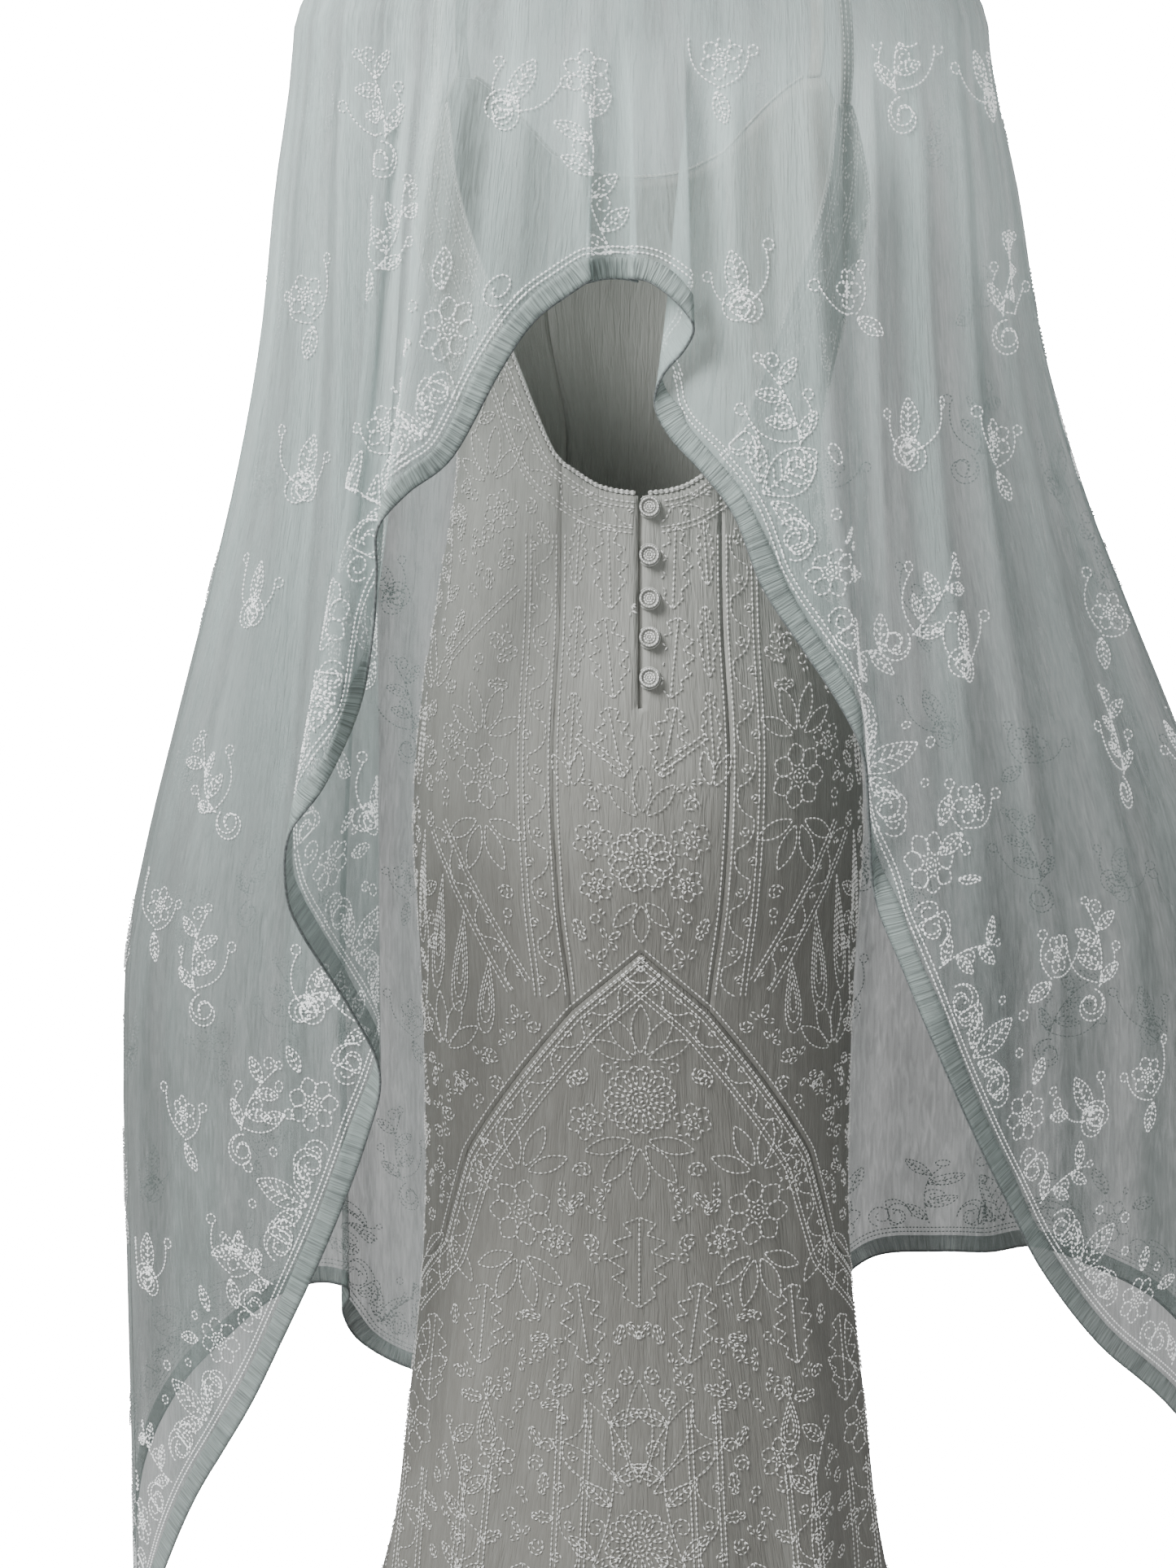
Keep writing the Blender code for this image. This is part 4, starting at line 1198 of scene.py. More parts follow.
# Beads: half length and half width of a bugle bead and of a small one, and their steps along a thread; how
# far their middles lie off the cloth, and the segments of their faceted shape.
BUGLE = (0.00182, 0.00070)
SMALL = (0.00150, 0.00076)
BUGLE_STEP = 0.0038
SMALL_STEP = 0.0033
BEAD_LIFT = 0.00065
BEAD_SIDES = 4
BEAD_RINGS = 2

# Drawing the lines: points on a curve, steps along a thread and the cloth left bare at an edge.
CURVE_POINTS = 14
FINE_STEP = 0.0015
PATH_STEP = 0.002
CLEAR_OF_EDGE = 0.0035

# How finely the cloths are laid out: heights and steps across, in metres of cloth.
CHART_STEP_Z = 0.006
CHART_STEP_S = 0.004


class Chart:
    """A cloth laid out by heights, so that distances across it are real and places are found from them."""

    def __init__(self, point, places, low, high):
        self.point = point
        self.places = places
        self.z = np.arange(low, high, CHART_STEP_Z)
        laid = point(places[None, :], self.z[:, None])
        steps = np.linalg.norm(np.diff(laid, axis=1), axis=-1)
        self.across = np.concatenate([np.zeros((len(self.z), 1)), np.cumsum(steps, axis=1)], axis=1)
        self.s = np.arange(0.0, self.across.max(), CHART_STEP_S)
        self.found = np.array([np.interp(self.s, row, places) for row in self.across])

    @staticmethod
    def read(table, row, column):
        """The value of a table between its rows and columns."""
        row = np.clip(row, 0.0, table.shape[0] - 1.001)
        column = np.clip(column, 0.0, table.shape[1] - 1.001)
        r, c = row.astype(int), column.astype(int)
        up, on = row - r, column - c
        near = between(table[r, c], table[r, c + 1], on)
        return between(near, between(table[r + 1, c], table[r + 1, c + 1], on), up)

    def row(self, z):
        return (np.asarray(z, float) - self.z[0]) / CHART_STEP_Z

    def distance(self, place, z):
        """Metres across the cloth from its left end to a place at a height."""
        column = np.interp(place, self.places, np.arange(len(self.places)))
        return self.read(self.across, self.row(z), column)

    def place(self, s, z):
        """The place at a distance from the left end and a height."""
        return self.read(self.found, self.row(z), np.asarray(s) / CHART_STEP_S)

    def sew(self, origins, flat, keep):
        """Points, directions out of the cloth and whether cloth is there, for flat points.

        Each flat point is drawn round a place: its metres across from that place, and its height.
        """
        z = flat[:, 1]
        place = self.place(self.distance(origins, z) + flat[:, 0], z)
        step = (self.places[-1] - self.places[0]) / 2000.0
        here = self.point(place, z)
        across = self.point(place + step, z) - here
        up = self.point(place, z + 0.002) - here
        return here, unit(np.cross(across, up)), keep(place, z)


class Sewing:
    """Beads along many flat lines, to be made into pieces."""

    def __init__(self, chart, facing, keep, seed):
        self.chart = chart
        self.facing = facing
        self.keep = keep
        self.random = np.random.default_rng(seed)
        self.drawn = []

    def lines(self, origin, lines):
        """Draws flat lines round a place, for beads to be sewn along."""
        self.drawn += [(origin, resampled(line, FINE_STEP)) for line in lines]

    def beads(self, size, step):
        """Rows of bead centre, thread direction, outward direction, half length and half width."""
        flat = np.concatenate([line for _, line in self.drawn])
        origins = np.concatenate([np.full(len(line), origin) for origin, line in self.drawn])
        points, outward, kept = self.chart.sew(origins, flat, self.keep)
        laid = np.concatenate([points, outward * self.facing, kept[:, None]], axis=1)
        threads = np.split(laid, np.cumsum([len(line) for _, line in self.drawn])[:-1])
        return np.concatenate([bead_rows(thread, size, step) for thread in threads])

    def pieces(self, name, slot, material, size, step, heights):
        """Makes the beads into pieces, parted at heights."""
        beads = self.beads(size, step)
        part = np.searchsorted(np.sort(heights), beads[:, 2])
        for number in range(len(heights) + 1):
            mesh = bead_mesh(f"{name}_{number}", beads[part == number], self.random)
            place(bpy.data.objects.new(mesh.name, mesh), slot, material)


def bead_rows(thread, size, step):
    """The beads on one thread, given as rows of point, outward direction and whether cloth is there."""
    along = np.concatenate([[0.0], np.cumsum(np.linalg.norm(np.diff(thread[:, :3], axis=0), axis=-1))])
    count = int(along[-1] / step)
    if not count:
        return np.zeros((0, 11))
    at = (np.arange(count) + 0.5) * along[-1] / count
    ahead, here, behind = (
        np.stack([np.interp(at + shift, along, column) for column in thread.T], axis=-1)
        for shift in (step / 3, 0.0, -step / 3)
    )
    here, ahead, behind = (rows[here[:, 6] > 0.99] for rows in (here, ahead, behind))
    out = unit(here[:, 3:6])
    way = ahead[:, :3] - behind[:, :3]
    way = unit(way - out * np.sum(way * out, axis=-1, keepdims=True))
    sizes = np.broadcast_to(size, (len(here), 2))
    return np.concatenate([here[:, :3] + out * BEAD_LIFT, way, out, sizes], axis=-1)


def bead_mesh(name, beads, random):
    """One mesh of beads, each a small faceted ball drawn out along its thread."""
    shape = bmesh.new()
    bmesh.ops.create_uvsphere(shape, u_segments=BEAD_SIDES, v_segments=BEAD_RINGS, radius=1.0)
    shape.verts.ensure_lookup_table()
    ball = np.array([v.co for v in shape.verts])
    corners = [[v.index for v in face.verts] for face in shape.faces]
    shape.free()
    here, along, out, half_length, half_width = np.split(beads, [3, 6, 9, 10], axis=1)
    aside = np.cross(out, along)
    wide = half_width[:, None, :]
    points = here[:, None, :] + along[:, None, :] * half_length[:, None, :] * ball[None, :, 2:3]
    points = points + (aside[:, None, :] * ball[None, :, 0:1] + out[:, None, :] * ball[None, :, 1:2]) * wide
    sizes = np.array([len(c) for c in corners])
    flat = np.concatenate(corners)
    count = len(beads)
    loops = (flat[None, :] + np.arange(count)[:, None] * len(ball)).ravel()
    totals = np.tile(sizes, count)
    starts = np.concatenate([[0], np.cumsum(totals)[:-1]])
    mesh = bpy.data.meshes.new(name)
    mesh.vertices.add(count * len(ball))
    mesh.vertices.foreach_set("co", points.astype(np.float32).ravel())
    mesh.loops.add(len(loops))
    mesh.loops.foreach_set("vertex_index", loops.astype(np.int32))
    mesh.polygons.add(len(totals))
    mesh.polygons.foreach_set("loop_start", starts.astype(np.int32))
    mesh.update(calc_edges=True)
    tone = mesh.attributes.new("tone", "FLOAT", "POINT")
    tone.data.foreach_set("value", np.repeat(random.random(count) ** 1.6, len(ball)).astype(np.float32))
    mesh.shade_smooth()
    return mesh


def resampled(line, step):
    """A line with points at even steps."""
    line = np.asarray(line, float)
    along = np.concatenate([[0.0], np.cumsum(np.linalg.norm(np.diff(line, axis=0), axis=-1))])
    at = np.linspace(0.0, along[-1], max(int(along[-1] / step), 2) + 1)
    return np.stack([np.interp(at, along, line[:, 0]), np.interp(at, along, line[:, 1])], axis=-1)


def turned(lines, degrees, at=(0.0, 0.0), size=1.0, flip=False):
    """Flat lines turned, sized and moved."""
    c, s = math.cos(math.radians(degrees)), math.sin(math.radians(degrees))
    way = np.array([[c, s], [-s, c]]) * size
    side = np.array([-1.0 if flip else 1.0, 1.0])
    return [(np.asarray(line) * side) @ way + np.asarray(at) for line in lines]


def followed(path, lines):
    """Flat lines bent to follow a path: their x runs along it and their y off it, to its left."""
    path = resampled(path, PATH_STEP)
    along = np.concatenate([[0.0], np.cumsum(np.linalg.norm(np.diff(path, axis=0), axis=-1))])
    tangent = unit(np.gradient(path, axis=0))
    bent = []
    for line in lines:
        line = resampled(line, FINE_STEP)
        base = np.stack([np.interp(line[:, 0], along, path[:, k]) for k in (0, 1)], axis=-1)
        way = unit(np.stack([np.interp(line[:, 0], along, tangent[:, k]) for k in (0, 1)], axis=-1))
        bent.append(base + np.stack([-way[:, 1], way[:, 0]], axis=-1) * line[:, 1:2])
    return bent


def length_of(path):
    return float(np.linalg.norm(np.diff(np.asarray(path), axis=0), axis=-1).sum())


def beside(path, offsets):
    """Lines that run beside a path, at distances to its left."""
    span = length_of(path)
    return followed(path, [np.array([(0.0, y), (span, y)]) for y in offsets])


def bow(a, b, rise):
    """An arc from a to b that bows out to its left."""
    a, b = np.asarray(a, float), np.asarray(b, float)
    share = np.linspace(0.0, 1.0, CURVE_POINTS)[:, None]
    left = np.array([-(b - a)[1], (b - a)[0]]) * rise
    return a + (b - a) * share + left * 4.0 * share * (1.0 - share)


def ring(radius, at=(0.0, 0.0)):
    angle = np.linspace(0.0, math.tau, CURVE_POINTS * 2)
    return np.stack([np.cos(angle), np.sin(angle)], axis=-1) * radius + np.asarray(at)


def curl(radius, turns=1.35):
    """A spiral that starts at the origin, sets out along +x and rolls in to its left."""
    angle = np.linspace(0.0, math.tau * turns, CURVE_POINTS * 3)
    reach = radius * (1.0 - 0.72 * angle / angle[-1])
    return np.stack([np.sin(angle) * reach, radius - np.cos(angle) * reach], axis=-1)


def leaf(length, width, ribs):
    """A leaf along +y from the origin, filled with slanting ribs on both sides of its middle one."""
    lines = [bow((0, 0), (0, length), width / length / 2), bow((0, length), (0, 0), width / length / 2)]
    lines.append(np.array([(0.0, 0.0), (0.0, length * 0.9)]))
    for k in range(1, ribs + 1):
        start = length * (k - 0.5) / (ribs + 1)
        reach = width * 0.42 * math.sin(math.pi * (k + 0.35) / (ribs + 1.4))
        for way in (-1, 1):
            lines.append(np.array([(0.0, start), (way * reach, start + reach * 0.9)]))
    return lines


def flower(radius, petals):
    """A round flower: looped petals round a small ring."""
    lines = [ring(radius * 0.20), ring(radius * 0.08)]
    for k in range(petals):
        foot, tip = (0.0, radius * 0.28), (0.0, radius)
        lines += turned([bow(foot, tip, 0.42), bow(tip, foot, 0.42)], 360.0 * k / petals)
    return lines


def fan(length, width, leaves, spread):
    """Pointed leaves that spread from one foot at the origin, round +y."""
    lines = []
    for k in range(leaves):
        share = k / (leaves - 1) - 0.5
        reach = length * (1.0 - 0.25 * abs(share))
        tip = (0.0, reach)
        foot = (0.0, reach * 0.16)
        rise = width / length / 2
        lines += turned([bow(foot, tip, rise), bow(tip, foot, rise)], spread * share)
    return lines


def drop(length, width, nested):
    """A teardrop hanging down -y from the origin, with smaller ones inside."""
    lines = []
    for k in range(nested):
        size = 1.0 - k * 0.30
        angle = np.linspace(0.0, math.tau, CURVE_POINTS * 3)
        x = np.sin(angle) * np.sin(angle / 2) ** 1.5 * width / 2 * size
        y = -(1.0 - np.cos(angle)) / 2 * length * size - length * k * 0.16
        lines.append(np.stack([x, y], axis=-1))
    return lines


def zigzag_leaf(length, width, points):
    """A toothed leaf along +y: a pointed outline on each side and a middle rib."""
    lines = [np.array([(0.0, 0.0), (0.0, length)])]
    for way in (-1, 1):
        edge = [(0.0, 0.0)]
        for k in range(points):
            low = (k + 0.35) / points
            high = (k + 1.0) / points
            reach = width / 2 * math.sin(math.pi * (low * 0.8 + 0.12))
            edge += [(way * reach, low * length), (way * reach * 0.45, high * length * 0.98)]
        edge[-1] = (0.0, length)
        lines.append(np.array(edge))
    return lines


def scrolls(length, pitch, height, start=0.0):
    """A running row of S-scrolls along +x, within a height on both sides of the line."""
    count = max(int(length / pitch), 1)
    pitch = length / count
    lines = []
    for k in range(count):
        way = 1.0 if k % 2 else -1.0
        x = start + pitch * k
        lines.append(bow((x, way * height), (x + pitch, -way * height), 0.22 * way))
        lines += turned([curl(height * 0.62)], 0.0, (x + pitch * 0.42, -height * 0.62 * way), flip=way < 0)
    return lines


def stem(length, leaves, size):
    """A curved stem up +y with leaves on alternate sides, curls and ringed dots."""
    spine = bow((0.0, 0.0), (0.0, length), 0.10)
    lines = [spine]
    for k in range(leaves):
        share = (k + 0.6) / leaves
        at = spine[int(share * (len(spine) - 1))]
        way = 1 if k % 2 else -1
        if k % 3 == 2:
            lines += turned([curl(size * 0.30)], 70.0 * way, at, flip=way < 0)
        else:
            lines += turned(leaf(size, size * 0.42, 3), -58.0 * way, at)
    lines.append(ring(size * 0.13, spine[-1] + (0.0, size * 0.16)))
    return lines


def double(path, gap=0.0042):
    """Two lines, one on each side of a path."""
    return beside(path, (-gap / 2, gap / 2))


# Places on the back half of the gown, in metres aside from the middle and in height. Both halves and both
# sides of the gown share them. Toothed leaves: foot, turn, length and width.
TOOTHED_LEAVES = (
    (0.0240, -0.4340, 178.0, 0.058, 0.026),
    (0.0440, -0.4300, 184.0, 0.046, 0.014),
    (0.0260, -0.4980, 174.0, 0.056, 0.030),
    (0.0450, -0.4900, 184.0, 0.050, 0.014),
    (0.0240, -0.5600, 168.0, 0.050, 0.028),
    (0.0480, -0.5500, 184.0, 0.052, 0.016),
    (0.0000, -0.9440, 180.0, 0.070, 0.046),
    (0.0460, -0.9960, 172.0, 0.062, 0.034),
    (0.1180, -1.0050, 186.0, 0.062, 0.034),
    (0.1700, -1.0400, 188.0, 0.070, 0.034),
    (0.0900, -1.2100, 180.0, 0.080, 0.040),
    (0.1700, -1.2400, 186.0, 0.080, 0.040),
    (0.2200, -1.2600, 190.0, 0.080, 0.038),
)

# Flowers: place, radius and number of petals.
FLOWERS = (
    (0.0000, -0.6680, 0.0240, 7),
    (0.0350, -0.6540, 0.0150, 6),
    (0.0320, -0.6870, 0.0130, 6),
    (0.1200, -0.6130, 0.0240, 7),
    (0.1480, -0.5900, 0.0150, 6),
    (0.1060, -0.4250, 0.0160, 6),
    (0.0000, -0.8520, 0.0270, 8),
    (0.0390, -0.8700, 0.0150, 6),
    (0.0900, -0.9450, 0.0260, 7),
    (0.1200, -0.9200, 0.0150, 6),
    (0.0620, -0.9650, 0.0130, 6),
    (0.0000, -1.1900, 0.0260, 8),
    (0.1100, -1.1350, 0.0160, 6),
    (0.2000, -1.1300, 0.0240, 7),
    (0.1250, -1.3450, 0.0260, 8),
    (0.2450, -1.3900, 0.0220, 7),
)

# Fans of pointed leaves: foot, turn, length and width of a leaf, number of leaves and their spread, in
# degrees.
FANS = (
    (0.0000, -0.6400, 0.0, 0.040, 0.015, 3, 84.0),
    (0.0000, -0.6960, 180.0, 0.034, 0.014, 3, 84.0),
    (0.0500, -0.6200, -8.0, 0.034, 0.013, 2, 40.0),
    (0.1200, -0.5860, 4.0, 0.042, 0.015, 4, 120.0),
    (0.1200, -0.6420, 176.0, 0.044, 0.016, 4, 130.0),
    (0.1750, -0.5600, -10.0, 0.046, 0.015, 3, 90.0),
    (0.1160, -0.4060, -10.0, 0.044, 0.015, 4, 110.0),
    (0.0000, -0.8230, 0.0, 0.046, 0.016, 5, 130.0),
    (0.0000, -0.8820, 180.0, 0.048, 0.017, 5, 150.0),
    (0.0900, -0.9150, 6.0, 0.046, 0.016, 4, 120.0),
    (0.0900, -0.9750, 186.0, 0.046, 0.016, 4, 120.0),
    (0.1600, -0.8300, 8.0, 0.050, 0.017, 4, 90.0),
    (0.1560, -0.9700, 186.0, 0.050, 0.017, 3, 80.0),
    (0.0000, -1.1600, 0.0, 0.092, 0.024, 5, 112.0),
    (0.0000, -1.2200, 180.0, 0.070, 0.022, 5, 130.0),
    (0.2000, -1.1000, 6.0, 0.060, 0.020, 4, 100.0),
    (0.1250, -1.3150, 0.0, 0.064, 0.020, 5, 130.0),
    (0.1250, -1.3750, 180.0, 0.040, 0.018, 4, 130.0),
)

# Nested drops: top, turn, length and width.
DROPS = (
    (0.1150, -0.7480, 4.0, 0.060, 0.020),
    (0.1380, -0.7150, 5.0, 0.080, 0.022),
    (0.1610, -0.6900, 6.0, 0.092, 0.022),
    (0.1850, -0.6600, 8.0, 0.092, 0.020),
    (0.1900, -0.5600, 8.0, 0.070, 0.018),
    (0.1180, -1.0900, 0.0, 0.040, 0.022),
)

# Stems with leaves: foot, turn, length, number of leaves and their size.
STEMS = (
    (0.1640, -0.5000, -6.0, 0.090, 6, 0.020),
    (0.1320, -0.3700, 10.0, 0.110, 6, 0.018),
    (0.1800, -0.4100, 4.0, 0.140, 7, 0.020),
    (0.2000, -0.8300, 3.0, 0.130, 7, 0.024),
    (0.0420, -1.2200, 8.0, 0.130, 7, 0.026),
    (0.1450, -1.2400, -4.0, 0.120, 7, 0.026),
    (0.2400, -1.2200, -4.0, 0.140, 7, 0.026),
    (0.0300, -1.4100, 4.0, 0.130, 7, 0.026),
    (0.1800, -1.4100, -6.0, 0.140, 7, 0.026),
)

# Paths across the panels, from one place to another, with the width of the scrolls beside them.
DIAGONALS = (
    (0.0900, -0.4780, 0.1600, -0.5380, 0.0),
    (0.0900, -0.7680, 0.1660, -0.6540, 0.0050),
    (0.0100, -0.6050, 0.0470, -0.5800, 0.0),
)

# Small motifs between the others: the lattice they stand in and the room that each needs.
FILLER_STEP = 0.0165
FILLER_ROOM = 0.0078

# Lines whose middle is nearer than this to the gown's middle aren't repeated on the other half.
ON_MIDDLE = 0.0006

# Upright rows of scrolls on the lower skirt: distance aside, top and bottom, turned out by degrees.
UPRIGHTS = (
    (0.0480, -1.0900, -1.4200, 3.0),
    (0.1260, -1.1400, -1.4200, 7.0),
    (0.1950, -1.1600, -1.4200, 11.0),
)

# Scrolls between double lines: distance off the path, half height and pitch.
NECK_SCROLLS = (-0.0155, 0.0050, 0.018)
HIP_SCROLLS = (-0.0150, 0.0046, 0.019)
UPRIGHT_SCROLLS = (0.0, 0.0070, 0.024)
HEM_SCROLLS = (0.0180, 0.0060, 0.022)

# Single lines beside a path: the armhole, the princess seam on both sides of its scrolls, and the hip seam.
ARMHOLE_LINES = (-0.0045, -0.0085)
SEAM_LINES = (-0.0032, 0.0032)
OUTER_SEAM_LINES = (0.0225, 0.0265)
HIP_LINES = (-0.0032, 0.0036)


def gown_keep(side):
    """Says which places of a side have cloth under them, clear of its edges and of the slit."""

    def keep(turn, z):
        aside = np.abs(turn)
        edge = edge_height(side.edge, side.peak_turns, aside)
        inside = (z < edge - CLEAR_OF_EDGE) & (aside < 89.0) & (z > HEM_Z + CLEAR_OF_EDGE)
        if side is FRONT:
            return inside
        x = smooth(FIGURE, z)[..., 0] * np.sin(np.radians(turn))
        slit = (np.abs(x - SLIT_X) < SLIT_WIDTH) & (z > PLACKET_END_Z - CLEAR_OF_EDGE)
        under_button = (np.abs(x - BUTTON_X) < BUTTON_RADIUS + 0.001) & (z > PLACKET_END_Z)
        return inside & ~slit & ~under_button

    return keep


def flat_path(chart, origin, places, z):
    """A path over places and heights, as metres across from an origin, and height."""
    places, z = np.broadcast_arrays(np.asarray(places, float), np.asarray(z, float))
    middle = chart.distance(np.full(z.shape, float(origin)), z)
    return np.stack([chart.distance(places, z) - middle, z], axis=-1)


def banded(path, offset, height, pitch=0.020):
    """A row of scrolls between two double lines, beside a path."""
    span = length_of(path)
    lines = followed(path, turned(scrolls(span, pitch, height), 0.0, (0.0, offset)))
    gaps = (0.0022, 0.0058)
    return lines + beside(path, [offset + way * (height + gap) for way in (-1, 1) for gap in gaps])


def gown_half(side, chart):
    """The lines sewn on one half of a side of the gown, from the middle towards +X."""
    peak_at = float(peak_column(side))
    columns = np.linspace(0.0, peak_at, 60)
    top = side.top(columns)
    neck = flat_path(chart, 0.0, column_turn(side.princess, columns, top), top)
    lines = banded(neck, *NECK_SCROLLS)
    turns = np.linspace(side.peak_turns[1], 90.0, 24)
    armhole = flat_path(chart, 0.0, turns, edge_height(side.edge, side.peak_turns, turns))
    lines += beside(armhole, ARMHOLE_LINES)
    first = -0.440 if side is BACK else -0.215
    z = np.linspace(first, -0.772, 60)
    seam = flat_path(chart, 0.0, princess_turn(side.princess, z), z)
    lines += beside(seam, SEAM_LINES)
    lines += followed(seam, turned(scrolls(length_of(seam), 0.022, 0.0062), 0.0, (0.0, 0.0125)))
    lines += beside(seam, OUTER_SEAM_LINES)
    turns = np.linspace(0.0, 88.0, 60)
    hip = flat_path(chart, 0.0, turns, straight(HIP_SEAM, turns))
    lines += beside(hip, HIP_LINES) + banded(hip, *HIP_SCROLLS)
    for x, z, turn, length, width in TOOTHED_LEAVES:
        lines += turned(zigzag_leaf(length, width, 5), turn, (x, z))
    for x, z, radius, petals in FLOWERS:
        lines += turned(flower(radius, petals), 10.0, (x, z))
    for x, z, turn, length, width, leaves, spread in FANS:
        lines += turned(fan(length, width, leaves, spread), turn, (x, z))
    for x, z, turn, length, width in DROPS:
        lines += turned(drop(length, width, 3), turn, (x, z))
    for x, z, turn, length, leaves, size in STEMS:
        lines += turned(stem(length, leaves, size), turn, (x, z))
    for x, z, x_end, z_end, height in DIAGONALS:
        path = np.array([(x, z), (x_end, z_end)])
        lines += banded(path, 0.0, height) if height else double(path)
    for x, top, bottom, lean in UPRIGHTS:
        path = np.array([(x, top), (x + (top - bottom) * math.tan(math.radians(lean)), bottom)])
        lines += banded(path, *UPRIGHT_SCROLLS)
    turns = np.linspace(0.0, 89.0, 80)
    hem = flat_path(chart, 0.0, turns, HEM_Z)
    return lines + banded(hem, *HEM_SCROLLS)


def filler(number):
    """A small motif for the room between the others."""
    kind = number % 4
    if kind == 0:
        return [ring(0.0032), bow((0.0, 0.0045), (0.0, 0.0100), 0.3), bow((0.0, 0.0100), (0.0, 0.0045), 0.3)]
    if kind == 1:
        return [curl(0.0050, 1.2), curl(0.0076, 0.8)]
    if kind == 2:
        return fan(0.0120, 0.0050, 3, 150.0)
    return zigzag_leaf(0.0170, 0.0100, 3)


def filled(lines, chart):
    """Small motifs in a staggered lattice over half of a side, wherever no line passes near."""
    sewn = np.concatenate([resampled(line, 0.004) for line in lines])
    added = []
    for row, z in enumerate(np.arange(HEM_Z + 0.05, -0.15, FILLER_STEP)):
        edge = float(chart.distance(90.0, z) - chart.distance(0.0, z))
        for x in np.arange(FILLER_STEP * (0.5 if row % 2 else 1.0), edge, FILLER_STEP):
            gaps = np.hypot(sewn[:, 0] - x, sewn[:, 1] - z)
            if gaps.min() > FILLER_ROOM:
                number = len(added)
                size = 0.92 + 0.1 * (number % 3)
                added += turned(filler(row + int(x / FILLER_STEP)), 47.0 * number, (x, z), size)
    return added


def gown_sewing(side, seed):
    """All the beads of one side of the gown."""
    chart = Chart(side.point, np.linspace(-90.0, 90.0, 241), HEM_Z - 0.012, -0.100)
    sewing = Sewing(chart, side.facing, gown_keep(side), seed)
    lines = gown_half(side, chart)
    for line in lines + filled(lines, chart):
        sewing.lines(0.0, [line])
        if abs(line[:, 0].mean()) > ON_MIDDLE:
            sewing.lines(0.0, [line * (-1.0, 1.0)])
    return sewing


def border_motif(number):
    """The lines of one motif of the cape's border, 0.072 m along and 0.085 m off the hem."""
    kind = number % 3
    if kind == 0:
        lines = turned([curl(0.012, 1.5), curl(0.0155, 1.2)], 60.0, (0.016, 0.026))
        lines += turned([curl(0.012, 1.5), curl(0.0155, 1.2)], -60.0, (0.056, 0.026), flip=True)
        lines += turned(leaf(0.046, 0.020, 6), 4.0, (0.036, 0.024))
        lines += turned(leaf(0.028, 0.012, 4), 52.0, (0.030, 0.026))
        lines += turned(leaf(0.028, 0.012, 4), -52.0, (0.042, 0.026))
        lines += [ring(0.0034, (0.012, 0.066)), ring(0.0034, (0.062, 0.064)), ring(0.0040, (0.038, 0.080))]
    elif kind == 1:
        lines = turned(flower(0.0195, 7), 0.0, (0.036, 0.046))
        lines += turned([curl(0.010, 1.4)], 25.0, (0.008, 0.024))
        lines += turned([curl(0.010, 1.4)], -25.0, (0.064, 0.024), flip=True)
        lines += turned(leaf(0.022, 0.010, 3), 40.0, (0.020, 0.064))
        lines += turned(leaf(0.022, 0.010, 3), -40.0, (0.052, 0.064))
        lines += [ring(0.0034, (0.036, 0.076))]
    else:
        lines = turned(stem(0.052, 5, 0.021), -8.0, (0.034, 0.024))
        lines += turned([curl(0.012, 1.5), curl(0.016, 1.3)], 80.0, (0.020, 0.030))
        lines += turned([curl(0.012, 1.5), curl(0.016, 1.3)], -80.0, (0.052, 0.030), flip=True)
    return lines


def sprig(number):
    """A spray: a stem or a flower with leaves, curls and ringed dots on threads."""
    kind = number % 3
    dots = [bow((0.0, 0.004), (0.024, 0.036), -0.2), ring(0.0038, (0.0265, 0.0395))]
    dots += [bow((0.0, 0.002), (-0.018, 0.026), 0.2), ring(0.0034, (-0.0205, 0.0290))]
    if kind == 0:
        curls = turned([curl(0.011), curl(0.014)], 200.0, (0.004, 0.0))
        return turned(stem(0.062, 6, 0.022), 0.0) + curls + dots
    if kind == 1:
        curls = turned([curl(0.011), curl(0.014)], 100.0, (0.010, 0.006))
        curls += turned([curl(0.010), curl(0.013)], -100.0, (-0.010, 0.002), flip=True)
        return curls + turned(leaf(0.034, 0.015, 5), 0.0, (0.0, 0.008)) + dots
    return turned(flower(0.015, 6), 0.0, (0.0, 0.022)) + turned(leaf(0.024, 0.011, 4), 150.0) + dots


def cape_keep(cape):
    """Says which places of the cape have cloth under them, clear of the band and of the side seams."""

    def keep(at, z):
        hem = catmull(cape.folds, np.clip(at, 0.0, cape.last))[..., 3]
        near_end = (at < 0.06) | (at > cape.last - 0.06)
        return (z > hem + BAND_WIDTH * 0.9) & (z < YOKE_Z - 0.004) & ~near_end

    return keep


# The cape's border: the length of a motif along the hem, and two lines at distances off the hem.
BORDER_STEP = 0.072
BORDER_LINES = (0.0175, 0.0212)

# Sprigs: steps across and down, their random shift and turn, and the cloth kept free over the hem. Below a
# height they stand closer.
SPRIG_STEP = 0.118
SPRIG_DROP = 0.122
SPRIG_TOP_Z = -0.155
SPRIG_END_Z = -1.25
SPRIG_SHIFT = 0.024
SPRIG_TURN_DEG = 40.0
SPRIG_FROM_HEM = 0.118
DENSE_BELOW = -0.72
DENSE_SHARE = 0.72

# Places of the cape's back between which its middle pleat folds over, where the border is only two lines.
PLEAT = (19.6, 35.0)
PLEAT_MIDDLE = 27.4


